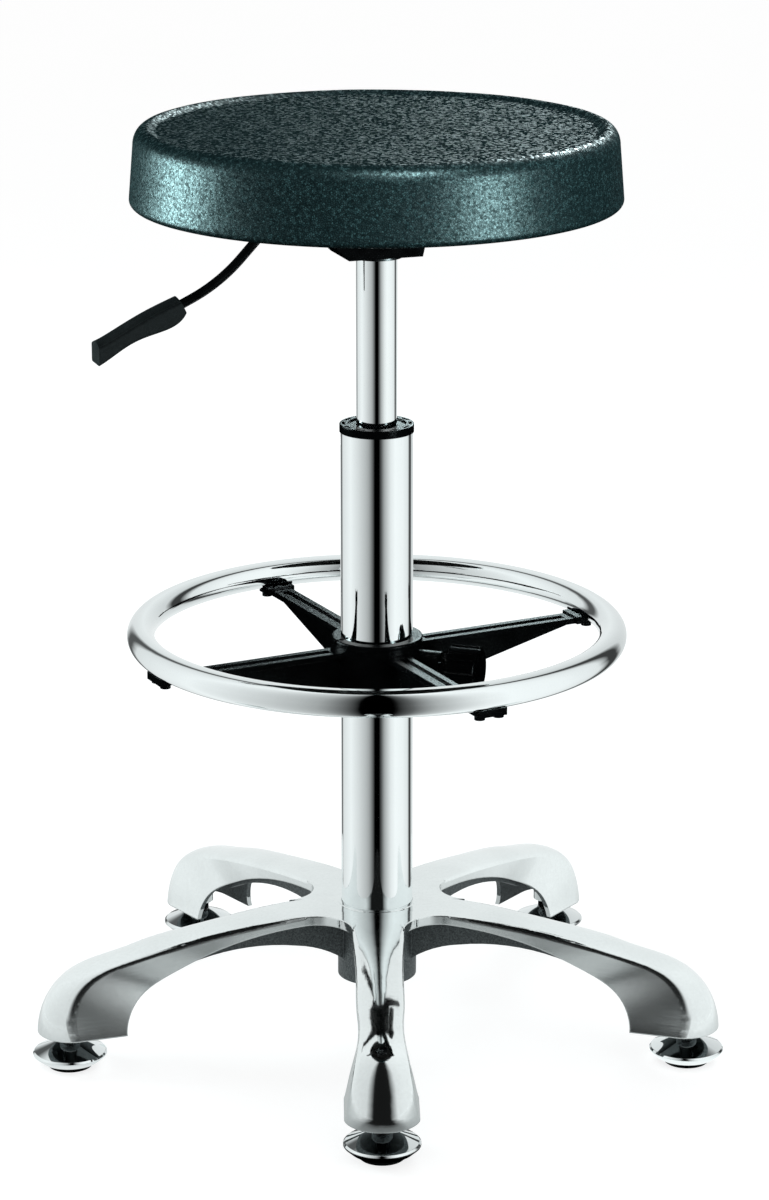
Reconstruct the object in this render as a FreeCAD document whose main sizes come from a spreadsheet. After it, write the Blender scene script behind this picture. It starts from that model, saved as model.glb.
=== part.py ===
import FreeCAD, Part
import Sketcher
import math
import os
import re

from FreeCAD import Placement, Rotation, Vector

# Backless work stool with a gas lift, a clamped foot ring and a five-leg cast base.
# Millimetres. The origin is on the column axis at floor level, +Z is up and one leg points to -Y.

SIZES = [
    ("column_radius", 25.0, "outside of the chrome column"),
    ("column_wall", 1.5, "wall of the column"),
    ("column_foot", 42.0, "height of the column's lower end, inside the base hub"),
    ("column_top", 434.5, "height of the column's upper end"),
    ("column_taper", 0.0251, "radius lost per millimetre below the hub's top"),
    ("column_lip", 2.0, "height of the lip rolled in at the column's lower end"),
    ("column_lip_width", 3.0, "width of that lip"),
    ("crimp_depth", 0.7, "depth of the two dents that hold the guide bush"),
    ("crimp_height", 7.0, "height of a dent"),
    ("crimp_width", 8.0, "width of a dent"),
    ("crimp_drop", 3.5, "distance from the column's top to a dent"),
    ("crimp_count", 2.0, "number of dents"),
    ("press_clearance", 0.05, "gap in a joint that doesn't move"),
    ("slide_clearance", 0.08, "radial gap in a sliding or turning fit"),
    ("free_clearance", 0.3, "gap between faces that move past each other"),
    ("cap_thickness", 5.5, "flange of the guide bush on top of the column"),
    ("cap_overhang", 0.5, "how far that flange stands out from the column"),
    ("cap_recess", 1.2, "depth of the flange's dished top"),
    ("cap_rim", 5.5, "width of the flange's raised rim"),
    ("cap_slots", 12.0, "number of moulded slots in the rim"),
    ("cap_slot_length", 7.0, "length of a slot round the rim"),
    ("cap_slot_width", 1.8, "width of a slot"),
    ("bush_depth", 78.0, "length of the bush inside the column"),
    ("cylinder_radius", 14.0, "outside of the gas cylinder"),
    ("cylinder_wall", 1.7, "wall of the gas cylinder"),
    ("cylinder_lip", 1.5, "height of the rolled ends of the cylinder"),
    ("cylinder_mouth", 9.0, "radius of the opening inside a rolled end"),
    ("lift_down", 105.0, "travel from the pictured height to the lowest"),
    ("lift_up", 155.0, "travel from the pictured height to the highest"),
    ("rest_gap", 1.0, "spare length at the ends of the lift travel"),
    ("rod_radius", 5.0, "piston rod"),
    ("rod_spigot_radius", 4.0, "turned-down lower end of the rod"),
    ("rod_tail", 2.0, "rod below its clip"),
    ("piston_length", 12.0, "piston on the rod's upper end"),
    ("gland_length", 20.0, "rod guide and seal in the cylinder's lower end"),
    ("plug_length", 22.0, "valve body in the cylinder's upper end"),
    ("end_plate", 3.0, "plate that carries the lift in the column's lower end"),
    ("clip_thickness", 1.2, "spring clip under the end plate"),
    ("clip_radius", 9.0, "outside of that clip"),
    ("clip_opening", 6.0, "width of the gap in the clip"),
    ("race_thickness", 1.5, "washer of the thrust bearing"),
    ("race_radius", 15.0, "outside of the washers"),
    ("ball_radius", 2.0, "bearing ball"),
    ("ball_circle", 10.5, "radius of the circle of balls"),
    ("ball_count", 10.0, "number of balls"),
    ("cage_thickness", 1.6, "ball cage"),
    ("cage_width", 7.0, "radial width of the cage"),
    ("bump_length", 12.0, "rubber stop on the rod"),
    ("bump_radius", 11.0, "outside of the rubber stop"),
    ("cylinder_drop", 16.0, "distance from the lift housing's top down to the cylinder's upper end"),
    ("pin_radius", 3.0, "release pin of the gas valve"),
    ("pin_proud", 5.6, "how far the pin stands out of the cylinder"),
    ("pin_length", 24.0, "whole length of the pin"),
    ("pin_chamfer", 1.4, "chamfer on the pin's top"),
    ("socket_proud", 2.0, "how far the taper socket stands out below the lift housing"),
    ("socket_wall", 3.6, "wall of the taper socket"),
    ("socket_top_drop", 1.5, "how far the socket ends below the cylinder's top"),
    ("tray_depth", 32.0, "depth of the lift housing"),
    ("tray_wall", 2.0, "sheet of the lift housing"),
    ("tray_floor_half", 26.0, "half length of the housing's floor"),
    ("tray_floor_side", 20.0, "half width of the housing's floor"),
    ("tray_head_front", 58.0, "reach of the housing's top at the lever end"),
    ("tray_head_back", 31.0, "reach of the housing's top at the other end"),
    ("tray_head_side", 26.0, "half width of the housing's top"),
    ("lever_azimuth", 198.0, "direction of the lever, in degrees"),
    ("lever_rod_radius", 3.2, "bent lever rod"),
    ("lever_gap", 0.4, "gap between the rod and the release pin"),
    ("lever_tip", 7.0, "rod past the release pin"),
    ("lever_pivot", 38.0, "reach of the lever's pivot"),
    ("lever_slot", 10.0, "width of the slot for the rod in the housing"),
    ("lever_slot_drop", 7.0, "depth of that slot below the rod's axis"),
    ("pivot_radius", 2.5, "pivot pin"),
    ("pivot_head", 4.5, "radius of the pin's heads"),
    ("pivot_head_length", 1.5, "length of a pin head"),
    ("sleeve_wall", 2.2, "wall of the pivot tube on the lever rod"),
    ("sleeve_length", 18.0, "length of the pivot tube"),
    ("bend_reach", 74.0, "reach of the rod's first bend"),
    ("bend_radius", 25.0, "radius of the first bend"),
    ("elbow_reach", 110.0, "reach of the rod's second bend"),
    ("elbow_drop", 38.0, "how far the second bend lies below the first"),
    ("elbow_radius", 115.0, "radius of the second bend"),
    ("rod_end_reach", 176.0, "reach of the rod's end inside the grip"),
    ("rod_end_drop", 69.26, "how far the rod's end lies below the pivot"),
    ("grip_width", 20.0, "width of the lever grip"),
    ("grip_start", 137.5, "reach of the grip's inner end"),
    ("grip_belly", 157.0, "reach of the grip's thick middle"),
    ("grip_waist", 171.0, "reach of the grip's finger hollow"),
    ("grip_knuckle", 183.0, "reach where the grip turns down"),
    ("grip_end", 196.0, "reach of the grip's outer end"),
    ("grip_neck", 4.4, "grip above and below the rod's axis at its inner end"),
    ("grip_crown", 5.5, "edge of the grip above the rod's axis at its thick middle"),
    ("grip_keel", 7.2, "grip below the rod's axis at its thick middle"),
    ("grip_waist_crown", 5.2, "edge of the grip above the axis at its finger hollow"),
    ("grip_waist_keel", 4.8, "grip below the axis at its finger hollow"),
    ("grip_knuckle_crown", 4.5, "edge of the grip above the axis where it turns down"),
    ("grip_knuckle_keel", 5.2, "grip below the axis where it turns down"),
    ("grip_tip_crown", 5.2, "edge of the grip straight above the axis at its outer end"),
    ("grip_tip_keel", 7.8, "grip straight below the axis at its outer end"),
    ("grip_rise", 2.2, "rise of the grip's rounded top above its edges"),
    ("grip_round", 1.8, "rounded edges of the grip"),
    ("plate_thickness", 3.0, "steel plate under the seat"),
    ("plate_length", 160.0, "length of the plate, along the lever"),
    ("plate_width", 112.0, "width of the plate"),
    ("plate_corner", 11.0, "rounded corners of the plate"),
    ("screw_pitch_long", 130.0, "spacing of the seat screws along the lever"),
    ("screw_pitch_wide", 80.0, "spacing of the seat screws across it"),
    ("screw_radius", 3.0, "seat screw"),
    ("screw_head", 5.5, "radius of the screw's head"),
    ("screw_head_length", 4.0, "height of the screw's head"),
    ("nut_barrel", 4.2, "radius of the board nut's barrel"),
    ("nut_flange", 9.0, "radius of the board nut's flange"),
    ("nut_flange_thickness", 1.3, "flange of the board nut"),
    ("seat_rim", 644.0, "height of the seat's rim"),
    ("seat_depth", 52.0, "depth of the seat from its rim to its underside"),
    ("seat_radius", 165.5, "outside of the seat near its underside"),
    ("seat_draw", 3.0, "how much narrower the seat is at its rim"),
    ("seat_brow", 9.0, "distance from the seat's side to the crest of its rim"),
    ("seat_shoulder", 12.0, "height of the rounded shoulder below the crest"),
    ("seat_roll", 7.0, "width of the slope inside the crest"),
    ("seat_dish", 3.0, "depth of the seat's dish"),
    ("seat_bottom_round", 4.0, "rounded lower edge of the seat"),
    ("board_thickness", 9.0, "board moulded into the seat"),
    ("board_radius", 140.0, "outside of the board"),
    ("board_clearance", 0.2, "gap between the board and the foam"),
    ("ring_rise", 6.0, "height of the foot ring's centre line above its hub"),
    ("ring_radius", 163.0, "radius of the foot ring's centre line"),
    ("ring_tube", 9.5, "outside radius of the ring's tube"),
    ("ring_wall", 1.5, "wall of the ring's tube"),
    ("arm_azimuth", 26.0, "direction of the first spider arm, in degrees"),
    ("arm_count", 4.0, "number of spider arms"),
    ("arm_width", 15.0, "width of an arm's top flange"),
    ("arm_flange", 4.0, "thickness of that flange"),
    ("arm_web", 6.0, "thickness of an arm's web"),
    ("arm_channel", 6.0, "width of the channel along an arm"),
    ("arm_channel_depth", 1.6, "depth of that channel"),
    ("arm_tip_depth", 3.8, "depth of an arm's outer end"),
    ("saddle_width", 21.0, "width of the saddle under the ring"),
    ("saddle_inner", 9.5, "saddle inside the ring's centre line"),
    ("saddle_outer", 5.5, "saddle outside the ring's centre line"),
    ("saddle_rise", 1.4, "saddle above the arm's top"),
    ("hub_foot", 245.0, "height of the spider hub's lower end"),
    ("hub_length", 41.0, "length of the spider hub"),
    ("hub_wall", 3.4, "wall of the spider hub"),
    ("clamp_wall", 2.1, "wall of the split clamp sleeve"),
    ("clamp_flange", 31.8, "radius of the sleeve's top flange"),
    ("clamp_flange_thickness", 3.4, "flange of the sleeve"),
    ("clamp_lip", 2.0, "width of the sleeve's lower lip"),
    ("clamp_lip_thickness", 2.2, "lower lip of the sleeve"),
    ("clamp_split", 2.5, "width of the split in the sleeve"),
    ("tap_pitch", 14.0, "spacing of the two screws in a saddle"),
    ("tap_radius", 1.9, "saddle screw"),
    ("tap_head", 3.6, "radius of the saddle screw's head"),
    ("tap_head_length", 2.4, "height of that head"),
    ("tap_tip", 2.5, "screw inside the ring's tube"),
    ("knob_rise", 25.0, "height of the clamp knob's axis above the hub's lower end"),
    ("boss_radius", 11.5, "boss for the clamp screw"),
    ("boss_reach", 47.0, "reach of that boss"),
    ("pad_radius", 6.0, "clamp pad"),
    ("pad_reach", 32.0, "reach of the pad's outer face"),
    ("pad_travel", 2.5, "how far the pad backs off"),
    ("stud_radius", 4.0, "clamp screw"),
    ("stud_point_radius", 2.5, "point of the clamp screw, in the pad"),
    ("stud_point", 1.5, "length of that point inside the pad"),
    ("clamp_nut_flats", 13.0, "width across the flats of the clamp nut"),
    ("clamp_nut_thickness", 6.5, "clamp nut"),
    ("knob_gap", 2.5, "gap between the boss and the knob"),
    ("knob_radius", 17.0, "outside of the clamp knob"),
    ("knob_neck", 12.0, "radius of the knob's inner end"),
    ("knob_length", 25.0, "length of the clamp knob"),
    ("knob_cone", 5.0, "length of the cone at the knob's inner end"),
    ("knob_flutes", 8.0, "number of finger flutes"),
    ("knob_flute_radius", 4.0, "radius of a flute"),
    ("knob_flute_depth", 1.6, "depth of a flute"),
    ("knob_grip", 15.0, "length of the clamp screw inside the knob"),
    ("knob_round", 2.0, "rounded front edge of the knob"),
    ("leg_count", 5.0, "number of legs"),
    ("leg_reach", 247.0, "reach of a leg's tip"),
    ("leg_root", 48.0, "reach where a leg leaves the hub"),
    ("leg_bury", 30.0, "length of a leg inside the hub"),
    ("leg_fall", 16.0, "slope of a leg's ridge at its knee, in degrees"),
    ("leg_edge_fall", 30.0, "slope of a leg's lower edge at its knee, in degrees"),
    ("leg_rim", 7.0, "height of a leg's side where it leaves the hub"),
    ("leg_wall", 3.5, "wall of a leg's shell"),
    ("leg_width", 32.0, "width of a leg in its middle"),
    ("leg_root_width", 36.0, "width of a leg at the hub"),
    ("leg_waist", 0.6, "share of the way to the knee where a leg has narrowed"),
    ("leg_crown_root", 0.1, "height of a leg's arch at the hub, as a share of half its width"),
    ("leg_crown", 0.55, "height of a leg's arch past the hub, as a share of half its width"),
    ("leg_shoulder", 0.75, "radius of a leg's shoulders, as a share of its arch's height"),
    ("leg_hollow", 0.6, "height of the hollow's straight sides, as a share of its depth"),
    ("hoof_width", 50.0, "width of a leg's foot end"),
    ("hoof_crown", 0.9, "length of a leg's rounded tip at its foot end, as a share of half its width"),
    ("hoof_flare", 0.95, "share of the way to the knee where a leg starts to widen"),
    ("hoof_flare_span", 1.05, "length of that widening, on the same scale"),
    ("hoof_length", 57.0, "length of a leg's foot end"),
    ("hoof_height", 26.0, "height of a leg's foot end above the floor"),
    ("base_top", 95.0, "height of the base hub's top"),
    ("base_foot", 40.0, "height of the base hub's lower end"),
    ("base_wall", 4.0, "wall of the base hub at its lower end"),
    ("base_collar", 3.0, "width of the raised ring round the column on the hub"),
    ("base_collar_rise", 0.2, "height of that ring"),
    ("rib_thickness", 13.0, "rib under a leg"),
    ("rib_foot", 47.5, "height of the rib where it meets the hub"),
    ("rib_arch_reach", 62.0, "reach where the rib's fillet ends"),
    ("rib_arch_height", 69.5, "height where the rib's fillet ends"),
    ("rib_end_inset", 73.0, "distance from a leg's tip to where the rib meets its foot end"),
    ("rib_end_height", 51.5, "height where the rib meets the foot end"),
    ("rib_bow", 0.7, "how far up the middle of the rib's fillet lies, as a share"),
    ("rib_sag", 10.5, "rise of the rib's lower edge in its middle"),
    ("web_round", 25.0, "rounded corner between two legs"),
    ("web_thickness", 6.6, "thickness of the web in that corner"),
    ("glide_inset", 22.0, "distance from a leg's tip to its glide's axis"),
    ("glide_radius", 25.7, "outside of a glide"),
    ("glide_rim_height", 10.0, "height of a glide's widest point"),
    ("glide_skin", 1.2, "sheet of a glide's chrome cap"),
    ("glide_fold", 1.9, "thickness of the cap where it folds at its widest point"),
    ("glide_lip_drop", 5.0, "how far the cap wraps below its widest point"),
    ("glide_lip_inset", 4.2, "how far the cap's lower lip lies inside its widest point"),
    ("glide_cone_rise", 8.5, "rise of the cap's cone"),
    ("glide_neck", 8.0, "radius of the cone's top"),
    ("sole_radius", 15.0, "flat contact of a glide's sole"),
    ("stem_radius", 5.5, "glide stem"),
    ("stem_collar", 7.5, "collar of the stem"),
    ("stem_length", 21.0, "stem inside the leg"),
    ("stem_root", 6.0, "stem inside the glide, below its cone's top"),
    ("stem_boss_wall", 5.5, "wall of the boss that takes the stem"),
    ("stem_boss_cover", 4.0, "boss above the stem's bore"),
]

# Lengths that follow from the driving sizes, as formulas in their names.
FORMULAS = {
    "column_bore": "column_radius - column_wall",
    "column_foot_radius": "column_radius - (base_top - column_foot) * column_taper",
    "column_foot_bore": "column_foot_radius - column_wall",
    "lip_radius": "column_foot_bore - column_lip_width",
    "plate_foot": "column_foot + column_lip",
    "plate_top": "plate_foot + end_plate",
    "clip_top": "plate_foot - free_clearance",
    "clip_foot": "clip_top - clip_thickness",
    "rod_foot": "clip_foot - rod_tail",
    "race_seat": "plate_top",
    "ball_floor": "race_seat + race_thickness",
    "ball_height": "ball_floor + press_clearance + ball_radius",
    "ball_roof": "ball_height + ball_radius + press_clearance",
    "race_top": "ball_roof + race_thickness",
    "bump_top": "race_top + bump_length",
    "cylinder_foot": "bump_top + rest_gap + lift_down",
    "cylinder_bore": "cylinder_radius - cylinder_wall",
    "gland_foot": "cylinder_foot + cylinder_lip",
    "gland_top": "gland_foot + gland_length",
    "piston_foot": "gland_top + rest_gap + lift_up",
    "piston_top": "piston_foot + piston_length",
    "seat_base": "seat_rim - seat_depth",
    "tray_top": "seat_base - plate_thickness",
    "tray_foot": "tray_top - tray_depth",
    "socket_foot": "tray_foot - socket_proud",
    "cylinder_top": "tray_top - cylinder_drop",
    "plug_top": "cylinder_top - cylinder_lip",
    "plug_foot": "plug_top - plug_length",
    "cap_top": "column_top + cap_thickness",
    "cap_radius": "column_radius + cap_overhang",
    "bush_radius": "column_bore - press_clearance",
    "bush_bore": "cylinder_radius + slide_clearance",
    "bush_foot": "column_top - bush_depth",
    "cylinder_top_radius": "cylinder_radius - (cylinder_top - socket_foot) * column_taper",
    "socket_top": "cylinder_top - socket_top_drop",
    "socket_top_bore": "cylinder_radius - (socket_top - socket_foot) * column_taper + press_clearance",
    "pin_top": "cylinder_top + pin_proud",
    "lever_height": "pin_top + lever_gap + lever_rod_radius",
    "board_top": "seat_base + board_thickness",
    "seat_crest": "seat_radius - seat_draw - seat_brow",
    "hub_head": "hub_foot + hub_length",
    "knob_height": "hub_foot + knob_rise",
    "ring_height": "hub_head + ring_rise",
    "arm_top": "ring_height - ring_tube",
    "saddle_foot": "arm_top - arm_tip_depth",
    "sleeve_bore": "column_radius + slide_clearance",
    "sleeve_radius": "sleeve_bore + clamp_wall",
    "hub_bore": "sleeve_radius + free_clearance",
    "hub_radius": "hub_bore + hub_wall",
    "flange_foot": "hub_head + free_clearance",
    "flange_top": "flange_foot + clamp_flange_thickness",
    "lip_top": "hub_foot - free_clearance",
    "lip_foot": "lip_top - clamp_lip_thickness",
    "pad_face": "sleeve_radius + free_clearance",
    "nut_reach": "pad_reach + pad_travel + rest_gap",
    "knob_foot": "boss_reach + knob_gap",
    "rib_end_reach": "leg_reach - rib_end_inset",
    "glide_reach": "leg_reach - glide_inset",
    "neck_height": "glide_rim_height + glide_cone_rise",
    "sole_lip": "glide_rim_height - glide_lip_drop",
    "stem_bore": "stem_radius + slide_clearance",
}

doc = FreeCAD.newDocument("work_stool")
sheet = doc.addObject("Spreadsheet::Sheet", "Sizes")
for row, (alias, value, note) in enumerate(SIZES, start=1):
    sheet.set("A%d" % row, alias)
    sheet.set("B%d" % row, str(value))
    sheet.set("C%d" % row, note)
    sheet.setAlias("B%d" % row, alias)
gauge = doc.addObject("App::FeaturePython", "Gauge")
gauge.addProperty("App::PropertyFloat", "Reading")
doc.recompute()

UP = Vector(0, 0, 1)
HALVINGS = 40
nodes = []


def bound(formula):
    """Write a formula's size names as references to the sheet."""
    def reference(match):
        word = match.group(0)
        if word in FORMULAS:
            return "(" + bound(FORMULAS[word]) + ")"
        return "Sizes." + word
    return re.sub(r"[a-z_]+", reference, formula)


def number(formula):
    """Work a formula out to a plain number."""
    gauge.setExpression("Reading", bound(formula))
    gauge.recompute()
    return gauge.Reading


def node(item, label):
    """Give a sub-part its name and list it for writing."""
    item.Label = label
    nodes.append(item)
    return item


def new_body(name):
    return doc.addObject("PartDesign::Body", name + "_body")


def origin_item(body, role):
    return [item for item in body.Origin.OriginFeatures if item.Role == role][0]


def new_sketch(body, name, plane):
    sketch = body.newObject("Sketcher::SketchObject", name)
    sketch.AttachmentSupport = [(origin_item(body, plane), "")]
    sketch.MapMode = "FlatFace"
    return sketch


def hold(sketch, edge, end, across, up):
    """Hold one point of a sketch at its two named distances from the sketch's origin."""
    for kind, axis, formula in (("DistanceX", -2, across), ("DistanceY", -1, up)):
        if formula == "0":
            sketch.addConstraint(Sketcher.Constraint("PointOnObject", edge, end, axis))
            continue
        item = sketch.addConstraint(Sketcher.Constraint(kind, -1, 1, edge, end, 1.0))
        sketch.setExpression("Constraints[%d]" % item, bound(formula))


def outline(sketch, corners):
    """Draw a closed outline of straight edges, with each corner held by its two formulas."""
    count = len(corners)
    turn = 2 * math.pi / count
    start = [Vector(20 + 10 * math.cos(turn * i), 20 + 10 * math.sin(turn * i), 0) for i in range(count)]
    first = len(sketch.Geometry)
    for i in range(count):
        sketch.addGeometry(Part.LineSegment(start[i], start[(i + 1) % count]))
    for i in range(count):
        sketch.addConstraint(Sketcher.Constraint("Coincident", first + i, 2, first + (i + 1) % count, 1))
    for i, (across, up) in enumerate(corners):
        hold(sketch, first + i, 1, across, up)


def ring_of(sketch, across, up, radius):
    """Draw a circle with its centre and radius held by formulas."""
    edge = sketch.addGeometry(Part.Circle(Vector(20, 20, 0), UP, 5))
    hold(sketch, edge, 3, across, up)
    item = sketch.addConstraint(Sketcher.Constraint("Radius", edge, 5.0))
    sketch.setExpression("Constraints[%d]" % item, bound(radius))


def turned(name, corners, body=None):
    """A body turned about Z from corners given as radius and height."""
    body = body or new_body(name)
    sketch = new_sketch(body, name + "_profile", "XZ_Plane")
    outline(sketch, corners)
    feature = body.newObject("PartDesign::Revolution", name + "_turn")
    feature.Profile = sketch
    feature.ReferenceAxis = (sketch, ["V_Axis"])
    feature.Angle = 360
    return body


def tube(name, bore, radius, foot, top):
    return turned(name, [(bore, foot), (radius, foot), (radius, top), (bore, top)])


def padded(body, name, sketch, length, kind="PartDesign::Pad", middle=True):
    """Pad or pocket a sketch, to both sides of its plane or to one."""
    feature = body.newObject(kind, name)
    feature.Profile = sketch
    feature.SideType = "Symmetric" if middle else "One side"
    feature.setExpression("Length", bound(length))
    return feature


def patterned(body, name, originals, count):
    """Repeat features round the body's Z axis."""
    pattern = body.newObject("PartDesign::PolarPattern", name)
    pattern.Originals = originals
    pattern.Axis = (origin_item(body, "Z_Axis"), [""])
    pattern.Angle = 360
    pattern.setExpression("Occurrences", bound(count))
    body.Tip = pattern


def rounded(body, name, radius, wanted):
    """Fillet the edges of the body's last feature that a test picks."""
    doc.recompute()
    base = body.Tip
    edges = ["Edge%d" % i for i, edge in enumerate(base.Shape.Edges, start=1) if wanted(edge)]
    fillet = body.newObject("PartDesign::Fillet", name)
    fillet.Base = (base, edges)
    fillet.setExpression("Radius", bound(radius))


def circle_at(radius, height):
    """A test that picks the circular edge of a given radius at a given height."""
    def wanted(edge):
        near = 0.01
        round_edge = isinstance(edge.Curve, Part.Circle)
        return (round_edge and abs(edge.Curve.Radius - radius) < near
                and abs(edge.CenterOfMass.z - height) < near)
    return wanted


def turn_to(item, azimuth):
    """Turn a piece about the column axis."""
    item.Placement = Placement(Vector(), Rotation(UP, number(azimuth)))


def radial_place(azimuth, height):
    """Place that lays a piece made along +Z on a level line out from the column axis."""
    lay_down = Rotation(Vector(0, 1, 0), 90)
    return Placement(Vector(0, 0, height), Rotation(UP, azimuth) * lay_down)


def solid_node(label, shape, place=None):
    """A sub-part whose shape is worked out below."""
    item = doc.addObject("Part::Feature", label + "_shape")
    item.Shape = shape
    if place:
        item.Placement = place
    return node(item, label)


def copies(label, pattern_body, places):
    """A group of like pieces, one solid at each place."""
    doc.recompute()
    shape = pattern_body.Shape
    solid_node(label, Part.makeCompound([shape.transformed(place.toMatrix(), True) for place in places]))


# Column, guide bush and the bearing that the lift turns on


def make_column():
    body = turned("column_tube", [
        ("lip_radius", "column_foot"),
        ("column_foot_radius", "column_foot"),
        ("column_radius", "base_top"),
        ("column_radius", "column_top"),
        ("column_bore", "column_top"),
        ("column_bore", "base_top"),
        ("column_foot_bore", "plate_foot"),
        ("lip_radius", "plate_foot"),
    ])
    dent = new_sketch(body, "crimp_outline", "XZ_Plane")
    outline(dent, [
        ("column_radius - crimp_depth", "column_top - crimp_drop - crimp_height"),
        ("column_radius + crimp_depth", "column_top - crimp_drop - crimp_height"),
        ("column_radius + crimp_depth", "column_top - crimp_drop"),
        ("column_radius - crimp_depth", "column_top - crimp_drop"),
    ])
    pocket = padded(body, "crimp", dent, "crimp_width", "PartDesign::Pocket")
    patterned(body, "crimps", [pocket], "crimp_count")
    node(body, "column_tube")


def make_guide_bush():
    body = turned("guide_bush", [
        ("bush_bore", "bush_foot"),
        ("bush_radius", "bush_foot"),
        ("bush_radius", "column_top"),
        ("cap_radius", "column_top"),
        ("cap_radius", "cap_top"),
        ("cap_radius - cap_rim", "cap_top"),
        ("cap_radius - cap_rim", "cap_top - cap_recess"),
        ("bush_bore", "cap_top - cap_recess"),
    ])
    rounded(body, "cap_edge", "cap_recess * 0.5", circle_at(number("cap_radius"), number("cap_top")))
    slot = new_sketch(body, "cap_slot_outline", "XZ_Plane")
    middle = "cap_radius - cap_rim * 0.5"
    outline(slot, [
        (middle + " - cap_slot_width * 0.5", "cap_top - cap_recess"),
        (middle + " + cap_slot_width * 0.5", "cap_top - cap_recess"),
        (middle + " + cap_slot_width * 0.5", "cap_top + cap_recess"),
        (middle + " - cap_slot_width * 0.5", "cap_top + cap_recess"),
    ])
    pocket = padded(body, "cap_slot", slot, "cap_slot_length", "PartDesign::Pocket")
    patterned(body, "cap_slot_ring", [pocket], "cap_slots")
    node(body, "guide_bush")


def make_bearing():
    node(tube("column_end_plate", "rod_spigot_radius + slide_clearance",
              "column_foot_bore - press_clearance", "plate_foot", "plate_top"), "column_end_plate")
    node(tube("lower_race", "rod_spigot_radius + slide_clearance", "race_radius",
              "race_seat", "ball_floor"), "lower_race")
    node(tube("upper_race", "rod_spigot_radius + press_clearance", "race_radius",
              "ball_roof", "race_top"), "upper_race")
    cage = tube("bearing_cage", "ball_circle - cage_width * 0.5", "ball_circle + cage_width * 0.5",
                "ball_height - cage_thickness * 0.5", "ball_height + cage_thickness * 0.5")
    seat = new_sketch(cage, "ball_hole_outline", "XY_Plane")
    ring_of(seat, "ball_circle", "0", "ball_radius + press_clearance")
    hole = padded(cage, "ball_hole", seat, "ball_height * 2 + cage_thickness * 2", "PartDesign::Pocket")
    patterned(cage, "ball_holes", [hole], "ball_count")
    node(cage, "bearing_cage")
    ball = doc.addObject("Part::Sphere", "ball")
    ball.setExpression("Radius", bound("ball_radius"))
    count = round(number("ball_count"))
    circle, height = number("ball_circle"), number("ball_height")
    places = []
    for i in range(count):
        turn = Rotation(UP, 360 * i / count)
        places.append(Placement(turn.multVec(Vector(circle, 0, height)), turn))
    copies("bearing_balls", ball, places)


def make_lift_rod():
    node(turned("piston_rod", [
        ("0", "rod_foot"),
        ("rod_spigot_radius", "rod_foot"),
        ("rod_spigot_radius", "race_top"),
        ("rod_radius", "race_top"),
        ("rod_radius", "piston_foot"),
        ("rod_spigot_radius", "piston_foot"),
        ("rod_spigot_radius", "piston_top"),
        ("0", "piston_top"),
    ]), "piston_rod")
    node(tube("piston", "rod_spigot_radius + press_clearance", "cylinder_bore - slide_clearance",
              "piston_foot", "piston_top"), "piston")
    node(tube("bump_stop", "rod_radius + press_clearance", "bump_radius", "race_top", "bump_top"),
         "bump_stop")
    clip = tube("rod_clip", "rod_spigot_radius + press_clearance", "clip_radius", "clip_foot", "clip_top")
    gap = new_sketch(clip, "clip_gap_outline", "XZ_Plane")
    outline(gap, [("0", "clip_foot"), ("clip_radius * 2", "clip_foot"),
                  ("clip_radius * 2", "clip_top"), ("0", "clip_top")])
    padded(clip, "clip_gap", gap, "clip_opening", "PartDesign::Pocket")
    node(clip, "rod_clip")


def make_gas_cylinder():
    node(turned("gas_cylinder", [
        ("cylinder_mouth", "cylinder_foot"),
        ("cylinder_radius", "cylinder_foot"),
        ("cylinder_radius", "socket_foot"),
        ("cylinder_top_radius", "cylinder_top"),
        ("cylinder_mouth", "cylinder_top"),
        ("cylinder_mouth", "plug_top"),
        ("cylinder_top_radius - cylinder_wall", "plug_top"),
        ("cylinder_top_radius - cylinder_wall", "plug_foot"),
        ("cylinder_bore", "plug_foot"),
        ("cylinder_bore", "gland_foot"),
        ("cylinder_mouth", "gland_foot"),
    ]), "gas_cylinder")
    node(tube("cylinder_gland", "rod_radius + slide_clearance", "cylinder_bore - press_clearance",
              "gland_foot", "gland_top"), "cylinder_gland")
    node(tube("valve_body", "pin_radius + slide_clearance",
              "cylinder_top_radius - cylinder_wall - press_clearance", "plug_foot", "plug_top"), "valve_body")
    node(turned("release_pin", [
        ("0", "pin_top - pin_length"),
        ("pin_radius", "pin_top - pin_length"),
        ("pin_radius", "pin_top - pin_chamfer"),
        ("pin_radius - pin_chamfer", "pin_top"),
        ("0", "pin_top"),
    ]), "release_pin")


# Lift housing, release lever and seat


def make_taper_socket():
    node(turned("taper_socket", [
        ("cylinder_radius + press_clearance", "socket_foot"),
        ("cylinder_radius + socket_wall", "socket_foot"),
        ("cylinder_radius + socket_wall", "socket_top"),
        ("socket_top_bore", "socket_top"),
    ]), "taper_socket")


def tray_wedge(name, inset, foot):
    """Tapered block of the lift housing, inset on all sides; its own Y axis runs up."""
    wedge = doc.addObject("Part::Wedge", name)
    limits = {
        "Ymin": foot, "Ymax": "tray_top",
        "Xmin": "%s - tray_floor_half" % inset, "Xmax": "tray_floor_half - %s" % inset,
        "Zmin": "%s - tray_floor_side" % inset, "Zmax": "tray_floor_side - %s" % inset,
        "X2min": "%s - tray_head_back" % inset, "X2max": "tray_head_front - %s" % inset,
        "Z2min": "%s - tray_head_side" % inset, "Z2max": "tray_head_side - %s" % inset,
    }
    for side, formula in limits.items():
        wedge.setExpression(side, bound(formula))
    wedge.Placement = Placement(Vector(), Rotation(Vector(1, 0, 0), 90))
    return wedge


def bored(name, base, tools):
    """Cut a list of tools out of a base, one after another."""
    for i, tool in enumerate(tools):
        cut = doc.addObject("Part::Cut", "%s_cut_%d" % (name, i))
        cut.Base, cut.Tool = base, tool
        base = cut
    return base


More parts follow.
